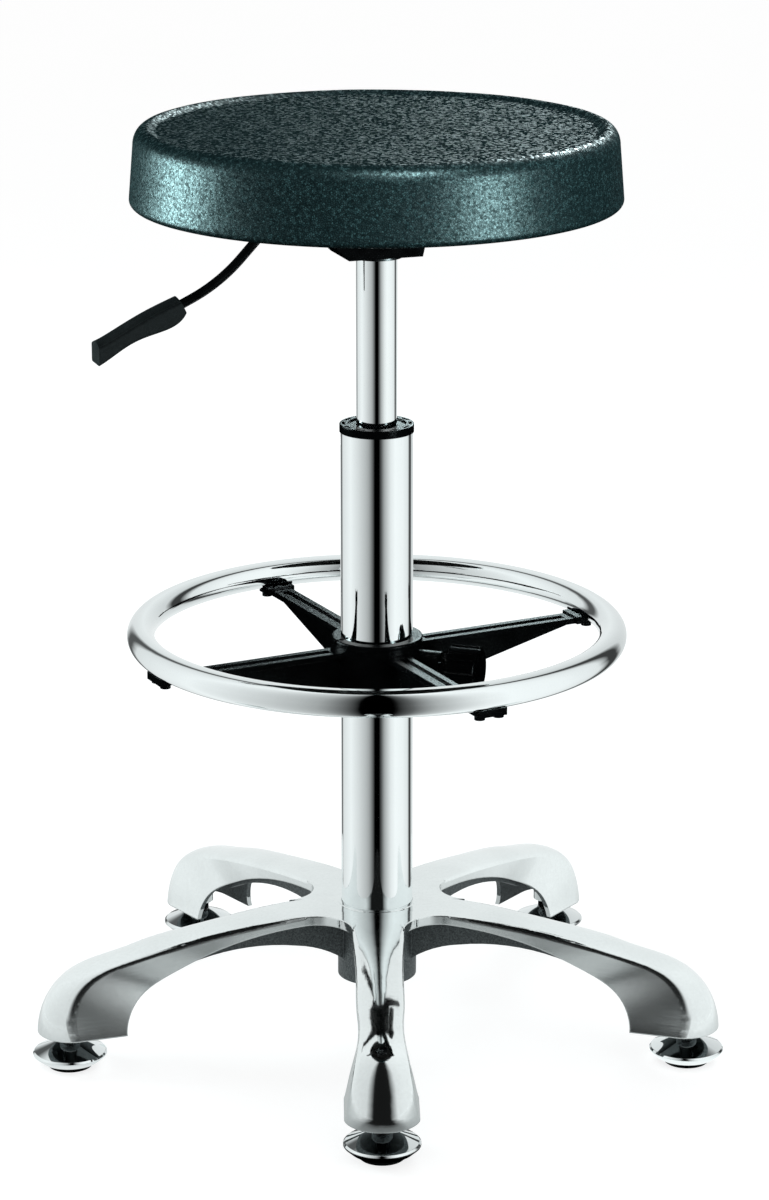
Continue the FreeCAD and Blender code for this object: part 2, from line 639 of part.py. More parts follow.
def rod_block(name, radius, length):
    """A bar of a given radius, made along its own Z axis."""
    bar = doc.addObject("Part::Cylinder", name)
    bar.setExpression("Radius", bound(radius))
    bar.setExpression("Height", bound(length))
    return bar


def make_lift_housing():
    shell = tray_wedge("housing_block", "0", "tray_foot")
    hollow = tray_wedge("housing_hollow", "tray_wall", "tray_foot + tray_wall")
    mouth = rod_block("housing_mouth", "cylinder_radius + socket_wall + press_clearance", "tray_top")
    across = Rotation(Vector(1, 0, 0), 90)
    pivot = rod_block("housing_pivot", "pivot_radius + press_clearance", "tray_head_side * 4")
    pivot.Placement = Placement(
        Vector(number("lever_pivot"), number("tray_head_side * 2"), number("lever_height")), across)
    slot = doc.addObject("Part::Box", "housing_slot")
    slot.setExpression("Length", bound("tray_head_front"))
    slot.setExpression("Width", bound("lever_slot"))
    slot.setExpression("Height", bound("tray_top - lever_height + lever_slot_drop + tray_wall"))
    slot.Placement = Placement(
        Vector(number("lever_pivot"), -number("lever_slot") / 2, number("lever_height - lever_slot_drop")),
        Rotation())
    housing = bored("housing", shell, [hollow, mouth, pivot, slot])
    turn_to(housing, "lever_azimuth")
    node(housing, "lift_housing")
    half = "tray_head_side + pivot_head_length"
    pin = turned("lever_pin", [
        ("0", "0"), ("pivot_head", "0"), ("pivot_head", "pivot_head_length"),
        ("pivot_radius", "pivot_head_length"),
        ("pivot_radius", "(%s) * 2 - pivot_head_length" % half),
        ("pivot_head", "(%s) * 2 - pivot_head_length" % half),
        ("pivot_head", "(%s) * 2" % half), ("0", "(%s) * 2" % half),
    ])
    swing = Rotation(UP, number("lever_azimuth"))
    start = swing.multVec(Vector(number("lever_pivot"), number(half), number("lever_height")))
    pin.Placement = Placement(start, swing * across)
    node(pin, "lever_pin")


def lever_path():
    """The lever rod's centre line in its own upright plane: straight runs joined by tangent arcs."""
    height = number("lever_height")
    corners = [
        Vector(-number("lever_tip"), 0, height),
        Vector(number("bend_reach"), 0, height),
        Vector(number("elbow_reach"), 0, height - number("elbow_drop")),
        Vector(number("rod_end_reach"), 0, height - number("rod_end_drop")),
    ]
    edges = []
    start = corners[0]
    for i, radius in ((1, number("bend_radius")), (2, number("elbow_radius"))):
        back = (corners[i - 1] - corners[i]).normalize()
        ahead = (corners[i + 1] - corners[i]).normalize()
        half = back.getAngle(ahead) / 2
        reach = radius / math.tan(half)
        bisector = (back + ahead).normalize()
        nearest = corners[i] + bisector * (radius / math.sin(half) - radius)
        first, last = corners[i] + back * reach, corners[i] + ahead * reach
        edges.append(Part.LineSegment(start, first).toShape())
        edges.append(Part.Arc(first, nearest, last).toShape())
        start = last
    edges.append(Part.LineSegment(start, corners[-1]).toShape())
    return Part.Wire(edges)


def make_lever():
    path = lever_path()
    radius = number("lever_rod_radius")
    section = Part.Wire(Part.makeCircle(radius, path.Vertexes[0].Point, Vector(1, 0, 0)))
    rod = path.makePipeShell([section], True, False)
    length = number("sleeve_length")
    middle = Vector(number("lever_pivot"), -length / 2, number("lever_height"))
    across = Vector(0, 1, 0)
    bore = number("pivot_radius + slide_clearance")
    rod = rod.fuse(Part.makeCylinder(bore + number("sleeve_wall"), length, middle, across))
    rod = rod.cut(Part.makeCylinder(bore, length, middle, across)).removeSplitter()
    turn = Placement(Vector(), Rotation(UP, number("lever_azimuth")))
    solid_node("lever_rod", rod, turn)
    solid_node("lever_grip", grip_block(path), turn)


def grip_section(centre, up, crown, keel):
    """Rounded block with a bowed top, with its own height above and below the lever rod."""
    side, corner = number("grip_width") / 2, number("grip_round")
    edges = []
    centres = [(side - corner, corner - keel), (side - corner, crown - corner),
               (corner - side, crown - corner), (corner - side, corner - keel)]

    def spot(i, angle):
        across, height = centres[i % 4]
        return (centre + Vector(0, 1, 0) * (across + corner * math.cos(angle))
                + up * (height + corner * math.sin(angle)))
    quarter = math.pi / 2
    bow = centre + up * (crown + number("grip_rise"))
    for i in range(4):
        first = quarter * (i - 1)
        last, ahead = spot(i, first + quarter), spot(i + 1, first + quarter)
        edges.append(Part.Arc(spot(i, first), spot(i, first + quarter / 2), last))
        edges.append(Part.Arc(last, bow, ahead) if i == 1 else Part.LineSegment(last, ahead))
    return Part.Wire([edge.toShape() for edge in edges])


def grip_block(path):
    """Moulded grip: a loft along the rod's outer run with an upright end face and the rod's bore cut in."""
    run = path.Edges[-1]
    along = run.tangentAt(run.FirstParameter)
    square = along.cross(Vector(0, 1, 0))
    stations = [
        ("grip_start", square, "grip_neck", "grip_neck"),
        ("grip_belly", square, "grip_crown", "grip_keel"),
        ("grip_waist", square, "grip_waist_crown", "grip_waist_keel"),
        ("grip_knuckle", square, "grip_knuckle_crown", "grip_knuckle_keel"),
        ("grip_end", UP, "grip_tip_crown", "grip_tip_keel"),
    ]
    end = run.Vertexes[-1].Point
    wires = []
    for reach, up, above, below in stations:
        centre = end + along * ((number(reach) - end.x) / along.x)
        wires.append(grip_section(centre, up, number(above), number(below)))
    bore = number("lever_rod_radius + press_clearance")
    start = run.Vertexes[0].Point
    hole = Part.makeCylinder(bore, run.Length + number("press_clearance"), start, along)
    return Part.makeLoft(wires, True, False).cut(hole)


def screw_places():
    """Places of the four seat screws, level with the seat's underside."""
    swing = Rotation(UP, number("lever_azimuth"))
    along, aside = number("screw_pitch_long") / 2, number("screw_pitch_wide") / 2
    places = []
    for x in (-along, along):
        for y in (-aside, aside):
            places.append(Placement(swing.multVec(Vector(x, y, number("seat_base"))), Rotation()))
    return places


def screw_rings(sketch, radius):
    for x in ("screw_pitch_long * 0.5", "screw_pitch_long * -0.5"):
        for y in ("screw_pitch_wide * 0.5", "screw_pitch_wide * -0.5"):
            ring_of(sketch, x, y, radius)


def raised(sketch, height):
    """Lift a sketch above its plane."""
    sketch.setExpression("AttachmentOffset.Base.z", bound(height))


def make_seat_plate():
    plate = new_body("seat_plate")
    top = new_sketch(plate, "plate_outline", "XY_Plane")
    raised(top, "tray_top")
    along, aside = "plate_length * 0.5", "plate_width * 0.5"
    minus_along, minus_aside = "plate_length * -0.5", "plate_width * -0.5"
    outline(top, [(minus_along, minus_aside), (along, minus_aside), (along, aside), (minus_along, aside)])
    padded(plate, "plate_sheet", top, "plate_thickness", middle=False)
    holes = new_sketch(plate, "plate_holes_outline", "XY_Plane")
    raised(holes, "tray_top")
    screw_rings(holes, "screw_radius + press_clearance")
    padded(plate, "plate_holes", holes, "plate_thickness * 3", "PartDesign::Pocket")
    end, near = number("plate_length * 0.5"), 0.01

    def corner_edge(edge):
        at_end = all(abs(abs(vertex.X) - end) < near for vertex in edge.Vertexes)
        return at_end and edge.BoundBox.ZLength > near
    rounded(plate, "plate_corners", "plate_corner", corner_edge)
    turn_to(plate, "lever_azimuth")
    node(plate, "seat_plate")


def make_seat_board():
    board = tube("seat_board", "0", "board_radius", "seat_base", "board_top")
    for name, radius, height in (
            ("barrel_holes", "nut_barrel + press_clearance", "board_thickness * 3"),
            ("flange_seats", "nut_flange + press_clearance", "(nut_flange_thickness + press_clearance) * 2")):
        holes = new_sketch(board, name + "_outline", "XY_Plane")
        raised(holes, "board_top")
        screw_rings(holes, radius)
        padded(board, name, holes, height, "PartDesign::Pocket")
    turn_to(board, "lever_azimuth")
    node(board, "seat_board")
    screw_end = "board_thickness - nut_flange_thickness"
    screw = turned("seat_screw", [
        ("0", "0 - plate_thickness - screw_head_length"),
        ("screw_head", "0 - plate_thickness - screw_head_length"),
        ("screw_head", "0 - plate_thickness"),
        ("screw_radius", "0 - plate_thickness"),
        ("screw_radius", screw_end),
        ("0", screw_end),
    ])
    copies("seat_screws", screw, screw_places())
    nut = turned("board_nut", [
        ("screw_radius + press_clearance", "0"),
        ("nut_barrel", "0"),
        ("nut_barrel", "board_thickness - nut_flange_thickness"),
        ("nut_flange", "board_thickness - nut_flange_thickness"),
        ("nut_flange", "board_thickness"),
        ("screw_radius + press_clearance", "board_thickness"),
    ])
    copies("board_nuts", nut, screw_places())


def make_seat_cushion():
    """Round moulded foam seat: leaning side, rounded shoulder, raised rim and dished top."""
    base, rim = number("seat_base"), number("seat_rim")
    radius, crest = number("seat_radius"), number("seat_crest")
    shoulder = Vector(radius - number("seat_draw"), 0, rim - number("seat_shoulder"))
    top = Vector(crest, 0, rim)
    cosine = math.cos(math.pi / 4)
    brow = Vector(crest + (shoulder.x - crest) * cosine, 0, shoulder.z + (rim - shoulder.z) * cosine)
    edge_round = number("seat_bottom_round")
    low = Vector(radius, 0, base + edge_round)
    under = Vector(radius - edge_round, 0, base)
    low_mid = Vector(radius - edge_round * (1 - cosine), 0, base + edge_round * (1 - cosine))
    half_roll, half_dish = number("seat_roll") / 2, number("seat_dish") / 2
    slope = math.atan(half_dish / half_roll)
    roll_radius = (half_roll ** 2 + half_dish ** 2) / (2 * half_dish)
    bow = Vector(roll_radius * math.sin(slope), 0, roll_radius * (1 - math.cos(slope)))
    slope_mid = Vector(crest - half_roll, 0, rim - half_dish)
    inner = Vector(crest - half_roll * 2, 0, rim - half_dish * 2)
    middle = Vector(0, 0, inner.z)
    pocket = number("board_radius + board_clearance")
    ceiling = number("board_top + board_clearance")
    edges = [
        Part.LineSegment(Vector(0, 0, ceiling), Vector(pocket, 0, ceiling)),
        Part.LineSegment(Vector(pocket, 0, ceiling), Vector(pocket, 0, base)),
        Part.LineSegment(Vector(pocket, 0, base), under),
        Part.Arc(under, low_mid, low),
        Part.LineSegment(low, shoulder),
        Part.Arc(shoulder, brow, top),
        Part.Arc(top, top - bow, slope_mid),
        Part.Arc(slope_mid, inner + bow, inner),
        Part.LineSegment(inner, middle),
        Part.LineSegment(middle, Vector(0, 0, ceiling)),
    ]
    profile = Part.Face(Part.Wire([edge.toShape() for edge in edges]))
    solid_node("seat_cushion", profile.revolve(Vector(), UP, 360))


# Foot ring, spider and clamp


def ring_torus(name, radius):
    torus = doc.addObject("Part::Torus", name)
    torus.setExpression("Radius1", bound("ring_radius"))
    torus.setExpression("Radius2", bound(radius))
    torus.Placement = Placement(Vector(0, 0, number("ring_height")), Rotation())
    return torus


def tap_places():
    """Places of the saddle screws, under each end of each arm."""
    count = round(number("arm_count"))
    radius, aside = number("ring_radius"), number("tap_pitch") / 2
    places = []
    for i in range(count):
        swing = Rotation(UP, number("arm_azimuth") + 360 * i / count)
        for side in (-aside, aside):
            spot = Vector(math.sqrt(radius ** 2 - side ** 2), side, number("saddle_foot"))
            places.append(Placement(swing.multVec(spot), swing))
    return places


def make_foot_ring():
    pilot = rod_block("ring_pilot", "tap_radius + press_clearance", "ring_height - saddle_foot")
    doc.recompute()
    holes = doc.addObject("Part::Feature", "ring_pilots")
    pilots = [pilot.Shape.transformed(place.toMatrix(), True) for place in tap_places()]
    holes.Shape = Part.makeCompound(pilots)
    ring = bored("ring", ring_torus("ring_outside", "ring_tube"),
                 [ring_torus("ring_inside", "ring_tube - ring_wall"), holes])
    node(ring, "footring_tube")
    screw = turned("tap_screw", [
        ("0", "0 - tap_head_length"),
        ("tap_head", "0 - tap_head_length"),
        ("tap_head", "0"),
        ("tap_radius", "0"),
        ("tap_radius", "arm_tip_depth + ring_wall + tap_tip"),
        ("0", "arm_tip_depth + ring_wall + tap_tip"),
    ])
    copies("ring_screws", screw, tap_places())


def make_spider():
    body = tube("footring_hub", "hub_bore", "hub_radius", "hub_foot", "hub_head")
    root = "hub_bore + hub_wall * 0.5"
    tip = "ring_radius - saddle_inner + arm_web * 0.5"
    blades = []
    shapes = [
        ("arm_web_blade", "arm_web", "PartDesign::Pad", [
            (root, "hub_foot + arm_flange * 0.5"), (tip, "saddle_foot"),
            (tip, "arm_top"), (root, "arm_top")]),
        ("arm_top_flange", "arm_width", "PartDesign::Pad", [
            (root, "arm_top - arm_flange"), (tip, "arm_top - arm_flange"),
            (tip, "arm_top"), (root, "arm_top")]),
        ("arm_saddle", "saddle_width", "PartDesign::Pad", [
            ("ring_radius - saddle_inner", "saddle_foot"), ("ring_radius + saddle_outer", "saddle_foot"),
            ("ring_radius + saddle_outer", "arm_top + saddle_rise"),
            ("ring_radius - saddle_inner", "arm_top + saddle_rise")]),
        ("arm_top_channel", "arm_channel", "PartDesign::Pocket", [
            ("hub_radius + arm_channel", "arm_top - arm_channel_depth"),
            ("ring_radius - saddle_inner - arm_channel", "arm_top - arm_channel_depth"),
            ("ring_radius - saddle_inner - arm_channel", "arm_top + arm_flange"),
            ("hub_radius + arm_channel", "arm_top + arm_flange")]),
    ]
    for name, width, kind, corners in shapes:
        sketch = new_sketch(body, name + "_outline", "XZ_Plane")
        outline(sketch, corners)
        blades.append(padded(body, name, sketch, width, kind))
    patterned(body, "arms", blades, "arm_count")
    groove = new_sketch(body, "ring_seat_outline", "XZ_Plane")
    ring_of(groove, "ring_radius", "ring_height", "ring_tube + press_clearance")
    seat = body.newObject("PartDesign::Groove", "ring_seat")
    seat.Profile = groove
    seat.ReferenceAxis = (groove, ["V_Axis"])
    seat.Angle = 360
    turn_to(body, "arm_azimuth")
    doc.recompute()
    clamp = radial_place(number("arm_azimuth") - 180 / round(number("arm_count")), number("knob_height"))
    shape = body.Shape.copy()

    def level_bar(radius, start, end):
        bar = Part.makeCylinder(number(radius), number(end) - number(start), Vector(0, 0, number(start)))
        return bar.transformed(clamp.toMatrix(), True)
    bore = Part.makeCylinder(number("hub_bore"), number("hub_head"))
    shape = shape.fuse(level_bar("boss_radius", root, "boss_reach")).cut(bore)
    shape = shape.cut(level_bar("pad_radius + slide_clearance", "hub_bore * 0.5", "nut_reach"))
    shape = shape.cut(level_bar("stud_radius + free_clearance", "nut_reach", "boss_reach + knob_gap"))
    nut_room = hexagon(number("clamp_nut_flats + press_clearance * 2"), number("clamp_nut_thickness"))
    nut_room.translate(Vector(0, 0, number("nut_reach")))
    shape = shape.cut(nut_room.transformed(clamp.toMatrix(), True))
    for place in tap_places():
        hole = Part.makeCylinder(number("tap_radius + press_clearance"), number("arm_tip_depth + ring_tube"))
        shape = shape.cut(hole.transformed(place.toMatrix(), True))
    solid_node("footring_hub", shape)
    nut = hexagon(number("clamp_nut_flats"), number("clamp_nut_thickness"))
    nut = nut.cut(Part.makeCylinder(number("stud_radius + slide_clearance"), number("clamp_nut_thickness")))
    nut.translate(Vector(0, 0, number("nut_reach")))
    solid_node("clamp_nut", nut.transformed(clamp.toMatrix(), True))
    return clamp


def hexagon(flats, thickness):
    """A hexagonal block along Z, by its width across the flats."""
    corner = flats / math.sqrt(3)
    points = [Vector(corner * math.cos(math.pi * i / 3), corner * math.sin(math.pi * i / 3), 0)
              for i in range(7)]
    return Part.Face(Part.makePolygon(points)).extrude(Vector(0, 0, thickness))


def make_clamp(clamp):
    sleeve = turned("clamp_sleeve", [
        ("sleeve_bore", "lip_foot"),
        ("sleeve_radius + clamp_lip", "lip_foot"),
        ("sleeve_radius + clamp_lip", "lip_top"),
        ("sleeve_radius", "lip_top"),
        ("sleeve_radius", "flange_foot"),
        ("clamp_flange", "flange_foot"),
        ("clamp_flange", "flange_top"),
        ("sleeve_bore", "flange_top"),
    ])
    rounded(sleeve, "flange_edge", "clamp_flange_thickness * 0.4",
            circle_at(number("clamp_flange"), number("flange_top")))
    split = new_sketch(sleeve, "split_outline", "XZ_Plane")
    outline(split, [("0", "lip_foot"), ("clamp_flange * -1.5", "lip_foot"),
                    ("clamp_flange * -1.5", "flange_top"), ("0", "flange_top")])
    padded(sleeve, "split", split, "clamp_split", "PartDesign::Pocket")
    turn_to(sleeve, "arm_azimuth")
    node(sleeve, "clamp_sleeve")

    pad = turned("clamp_pad", [
        ("0", "pad_face * 0.5"),
        ("pad_radius", "pad_face * 0.5"),
        ("pad_radius", "pad_reach"),
        ("stud_point_radius + press_clearance", "pad_reach"),
        ("stud_point_radius + press_clearance", "pad_reach - stud_point - press_clearance"),
        ("0", "pad_reach - stud_point - press_clearance"),
    ])
    doc.recompute()
    hollow = Part.makeCylinder(number("pad_face"), number("hub_head"))
    solid_node("clamp_pad", pad.Shape.transformed(clamp.toMatrix(), True).cut(hollow))

    stud = turned("clamp_stud", [
        ("0", "pad_reach - stud_point"),
        ("stud_point_radius", "pad_reach - stud_point"),
        ("stud_point_radius", "pad_reach + press_clearance"),
        ("stud_radius", "pad_reach + press_clearance"),
        ("stud_radius", "knob_foot + knob_grip"),
        ("0", "knob_foot + knob_grip"),
    ])
    stud.Placement = clamp
    node(stud, "clamp_stud")

    knob = turned("clamp_knob", [
        ("stud_radius + press_clearance", "knob_foot"),
        ("knob_neck", "knob_foot"),
        ("knob_radius", "knob_foot + knob_cone"),
        ("knob_radius", "knob_foot + knob_length"),
        ("0", "knob_foot + knob_length"),
        ("0", "knob_foot + knob_grip + press_clearance"),
        ("stud_radius + press_clearance", "knob_foot + knob_grip + press_clearance"),
    ])
    rounded(knob, "knob_face_edge", "knob_round",
            circle_at(number("knob_radius"), number("knob_foot + knob_length")))
    flute = new_sketch(knob, "flute_outline", "XY_Plane")
    ring_of(flute, "knob_radius - knob_flute_depth + knob_flute_radius", "0", "knob_flute_radius")
    cut = padded(knob, "flute", flute, "(knob_foot + knob_length) * 3", "PartDesign::Pocket")
    patterned(knob, "flutes", [cut], "knob_flutes")
    knob.Placement = clamp
    node(knob, "clamp_knob")


# Cast base


def leg_line(root_height, reach, fall):
    """A line along a leg: a long arc that leaves the hub level, then a tight arc down to the foot end.

    The line is a function of a share from 0 at the hub to 1 at the knee and 2 at the foot end.
    It gives the point and the outward normal there, both in the leg's upright plane.
    """
    root, foot = number("leg_root"), number("hoof_height")
    slope = math.tan(fall / 2)
    tight = ((root_height - foot - (reach - root) * slope)
             / (math.cos(fall) - (1 - math.sin(fall)) * slope))
    knee = reach - tight * (1 - math.sin(fall))
    long = (knee - root) / math.sin(fall)

    def at(share):
        if share <= 1:
            angle, radius = fall * share, long
            centre = Vector(root, 0, root_height - long)
        else:
            angle, radius = fall + (math.pi / 2 - fall) * (share - 1), tight
            centre = Vector(reach - tight, 0, foot)
        normal = Vector(math.sin(angle), 0, math.cos(angle))
        return centre + normal * radius, normal
    return at


def ease(share):
    """Smooth step from 0 to 1."""
    share = min(1.0, max(0.0, share))
    return share * share * (3 - 2 * share)


def leg_lines():
    ridge = leg_line(number("base_top"), number("leg_reach"), math.radians(number("leg_fall")))
    edge = leg_line(number("base_top - leg_rim"), number("leg_reach - hoof_length"),
                    math.radians(number("leg_edge_fall")))
    return ridge, edge


def leg_half_width(share):
    """Half the width of a leg: wide at the hub, narrow in the middle and flared at the foot end."""
    root, middle, hoof = (number(name) / 2 for name in ("leg_root_width", "leg_width", "hoof_width"))
    narrowing = 1 - ease(share / number("leg_waist"))
    flare = max(0.0, (share - number("hoof_flare")) / number("hoof_flare_span"))
    return middle + (root - middle) * narrowing + (hoof - middle) * flare


def leg_section(share, ridge, edge):
    """Closed wire of the leg's arched wall, in the plane from its lower edge to its ridge.

    Outside, a wide crown runs through tight shoulders into straight sides.
    """
    low, high = edge(share)[0], ridge(share)[0]
    depth = (high - low).Length
    up = (high - low).normalize()
    half = leg_half_width(share)
    wall = number("leg_wall")

    def spot(aside, height):
        return low + up * height + Vector(0, aside, 0)
    flat, arched, tip = (number(name) for name in ("leg_crown_root", "leg_crown", "hoof_crown"))
    crown = (flat + (arched - flat) * ease(share * 2) + (tip - arched) * ease(share - 1)) * half
    small = crown * number("leg_shoulder")
    large = (half * (half - 2 * small) + crown ** 2) / (2 * (crown - small))
    turn = math.atan2(large - crown, half - small)
    middle = turn / 2
    side = depth - crown
    shoulder = (half - small * (1 - math.cos(middle)), side + small * math.sin(middle))
    brow = (half - small * (1 - math.cos(turn)), side + small * math.sin(turn))
    inner_half, inner_top = half - wall, depth - wall
    inner_side = min(side, number("leg_hollow") * inner_top)
    edges = [
        Part.LineSegment(spot(-half, 0), spot(-half, side)),
        Part.Arc(spot(-half, side), spot(-shoulder[0], shoulder[1]), spot(-brow[0], brow[1])),
        Part.Arc(spot(-brow[0], brow[1]), spot(0, depth), spot(*brow)),
        Part.Arc(spot(*brow), spot(*shoulder), spot(half, side)),
        Part.LineSegment(spot(half, side), spot(half, 0)),
        Part.LineSegment(spot(half, 0), spot(inner_half, 0)),
        Part.LineSegment(spot(inner_half, 0), spot(inner_half, inner_side)),
        Part.Arc(spot(inner_half, inner_side), spot(0, inner_top), spot(-inner_half, inner_side)),
        Part.LineSegment(spot(-inner_half, inner_side), spot(-inner_half, 0)),
        Part.LineSegment(spot(-inner_half, 0), spot(-half, 0)),
    ]
    return Part.Wire([edge_item.toShape() for edge_item in edges])


def leg_shell(ridge, edge):
    stations = [0, 0.25, 0.5, 0.75, 1, 4 / 3, 5 / 3, 2]
    wires = [leg_section(share, ridge, edge) for share in stations]
    buried = wires[0].copy()
    buried.translate(Vector(-number("leg_bury"), 0, 0))
    return Part.makeLoft([buried] + wires, True, False).common(leg_sector())


def leg_sector():
    """Upright wedge round the axis that holds one leg, so that neighbours meet face to face."""
    step = math.pi / round(number("leg_count"))
    long, aside = number("leg_reach * 2"), number("leg_reach * 2") * math.tan(step)
    points = [Vector(), Vector(long, -aside, 0), Vector(long, aside, 0), Vector()]
    return Part.Face(Part.makePolygon(points)).extrude(Vector(0, 0, number("base_top * 2")))


def share_at(line, height):
    """The share between the knee and the foot end where a line along a leg has come down to a height."""
    above, below = 1.0, 2.0
    for halving in range(HALVINGS):
        middle = (above + below) / 2
        if line(middle).z > height:
            above = middle
        else:
            below = middle
    return below


def leg_rib(ridge):
    """Upright rib under a leg, arched from the hub and buried in the shell's top."""
    half_wall = number("leg_wall") / 2

    def inset(share):
        point, normal = ridge(share)
        return point - normal * half_wall
    inner = number("leg_root - leg_bury")
    foot = Vector(inner, 0, number("rib_foot"))
    arch = Vector(number("rib_arch_reach"), 0, number("rib_arch_height"))
    end = Vector(number("rib_end_reach"), 0, number("rib_end_height"))
    bow = Vector((foot.x + arch.x) / 2, 0, foot.z + (arch.z - foot.z) * number("rib_bow"))
    hump = Vector((arch.x + end.x) / 2, 0, (arch.z + end.z) / 2 + number("rib_sag"))
    boss = Vector(number("glide_reach"), 0, min(stem_boss_top(), end.z) - half_wall)
    turn = share_at(inset, boss.z)
    knee, web_mid, web_end = inset(1), inset((1 + turn) / 2), inset(turn)
    edges = [
        Part.Arc(foot, bow, arch),
        Part.Arc(arch, hump, end),
        Part.LineSegment(end, boss),
        Part.LineSegment(boss, web_end),
        Part.Arc(web_end, web_mid, knee),
        Part.Arc(knee, inset(0.5), inset(0)),
        Part.LineSegment(inset(0), Vector(inner, 0, inset(0).z)),
        Part.LineSegment(Vector(inner, 0, inset(0).z), foot),
    ]
    thickness = number("rib_thickness")
    face = Part.Face(Part.Wire([item.toShape() for item in edges]))
    face.translate(Vector(0, -thickness / 2, 0))
    return face.extrude(Vector(0, thickness, 0))


def stem_boss_top():
    return number("hoof_height + stem_length + rest_gap + stem_boss_cover")


def leg_corner():
    """Level web that rounds the corner between two legs."""
    step = math.pi / round(number("leg_count"))
    radius, half = number("web_round"), number("leg_root_width") / 2
    away = (half + radius) / math.sin(step)
    centre = Vector(away * math.cos(step), away * math.sin(step), 0)
    first = Vector(away * math.cos(step), half, 0)
    nearest = centre * ((away - radius) / away)
    far = 2 * step - math.atan2(first.y, first.x)
    last = Vector(math.cos(far), math.sin(far), 0) * first.Length
    edges = [
        Part.LineSegment(Vector(), first),
        Part.Arc(first, nearest, last),
        Part.LineSegment(last, Vector()),
    ]
    web = Part.Face(Part.Wire([item.toShape() for item in edges]))
    web.translate(Vector(0, 0, number("base_top - leg_rim")))
    return web.extrude(Vector(0, 0, number("web_thickness")))


def make_base():
    ridge, edge = leg_lines()
    top, foot = number("base_top"), number("base_foot")
    collar = number("column_radius + base_collar")
    collar_top = top + number("base_collar_rise")
    low_radius = number("column_foot_radius + base_wall")
    core = number("column_foot_radius") / 2
    points = [Vector(r, 0, z) for r, z in (
        (core, foot), (low_radius, foot), (collar, top - number("leg_rim") * 2),
        (collar, collar_top), (core, collar_top))]
    base = Part.Face(Part.makePolygon(points + points[:1])).revolve(Vector(), UP, 360)
    boss_radius = number("stem_bore + stem_boss_wall")
    hoof = number("hoof_height")
    reach = Vector(number("glide_reach"), 0, hoof)
    boss = Part.makeCylinder(boss_radius, stem_boss_top() - hoof, reach)
    bore = Part.makeCylinder(number("stem_bore"), number("stem_length + rest_gap"), reach)
    leg = leg_shell(ridge, edge).fuse([leg_rib(ridge), boss])
    corner = leg_corner()
    count = round(number("leg_count"))
    turns = [Placement(Vector(), Rotation(UP, -90 + 360 * i / count)).toMatrix() for i in range(count)]
    for piece in (leg, corner):
        for turn in turns:
            base = base.fuse(piece.transformed(turn, True))
    bores = [bore.transformed(turn, True) for turn in turns]
    clearance = number("press_clearance")
    taper = number("column_taper")
    top_bore = number("column_radius") + clearance
    bores.append(Part.makeCone(top_bore - (top - foot) * taper, top_bore, top - foot, Vector(0, 0, foot)))
    bores.append(Part.makeCylinder(top_bore, top, Vector(0, 0, top)))
    solid_node("star_base", base.cut(bores).removeSplitter())


def make_glides():
    skin = "glide_skin"
    cap = turned("glide_cap", [
        ("stem_radius + press_clearance", "neck_height - %s" % skin),
        ("glide_radius - glide_fold", "glide_rim_height"),
        ("glide_radius - glide_lip_inset - %s" % skin, "sole_lip"),
        ("glide_radius - glide_lip_inset", "sole_lip"),
        ("glide_radius", "glide_rim_height - %s" % skin),
        ("glide_radius", "glide_rim_height"),
        ("glide_radius - %s" % skin, "glide_rim_height + %s" % skin),
        ("glide_neck", "neck_height"),
        ("stem_radius + press_clearance", "neck_height"),
    ])
    gap = "press_clearance * 2"
    sole = turned("glide_sole", [
        ("0", "0"),
        ("sole_radius", "0"),
        ("glide_radius - glide_lip_inset - %s - %s" % (skin, gap), "sole_lip"),
        ("glide_radius - glide_fold - %s" % gap, "glide_rim_height - press_clearance"),
        ("stem_radius + press_clearance", "neck_height - %s - %s" % (skin, gap)),
        ("stem_radius + press_clearance", "neck_height - stem_root"),
        ("0", "neck_height - stem_root"),
    ])
    stem = turned("glide_stem", [
        ("0", "neck_height - stem_root"),
        ("stem_radius", "neck_height - stem_root"),
        ("stem_radius", "neck_height"),
        ("stem_collar", "neck_height"),
        ("stem_collar", "hoof_height - free_clearance"),
        ("stem_radius", "hoof_height - free_clearance"),
        ("stem_radius", "hoof_height + stem_length"),
        ("0", "hoof_height + stem_length"),
    ])
    doc.recompute()
    count = round(number("leg_count"))
    for i in range(count):
        swing = Rotation(UP, -90 + 360 * i / count)
        place = Placement(swing.multVec(Vector(number("glide_reach"), 0, 0)), swing)
        for name, body in (("glide_cap", cap), ("glide_sole", sole), ("glide_stem", stem)):
            solid_node("%s_%d" % (name, i + 1), body.Shape, place)


make_base()
make_column()
make_guide_bush()
make_bearing()
make_lift_rod()
make_gas_cylinder()
make_taper_socket()
make_lift_housing()
make_lever()
make_seat_plate()
make_seat_board()
make_seat_cushion()
make_foot_ring()
make_clamp(make_spider())
make_glides()
doc.recompute()

for item in doc.Objects:
    if "Invalid" in item.State or "Error" in item.State:
        raise RuntimeError("%s did not build: %s" % (item.Label, item.State))
for item in nodes:
    if item.Shape.isNull() or not item.Shape.isValid():
        raise RuntimeError("%s has no valid shape" % item.Label)

os.makedirs("parts", exist_ok=True)
for item in nodes:
    item.Shape.exportStep("parts/%s.step" % item.Label)
    print("%-20s solids %2d  volume %10.1f mm3" % (item.Label, len(item.Shape.Solids), item.Shape.Volume))
print("%d nodes" % len(nodes))
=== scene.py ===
"""Finish a packed work stool: grained seat skin, chrome, polished casting, moulded parts and a studio."""

import math

import bmesh
import bpy
from bpy.props import FloatProperty, FloatVectorProperty, IntProperty, PointerProperty
from bpy.types import NodeSocket, Operator, Panel, PropertyGroup
from mathutils import Matrix, Vector, noise


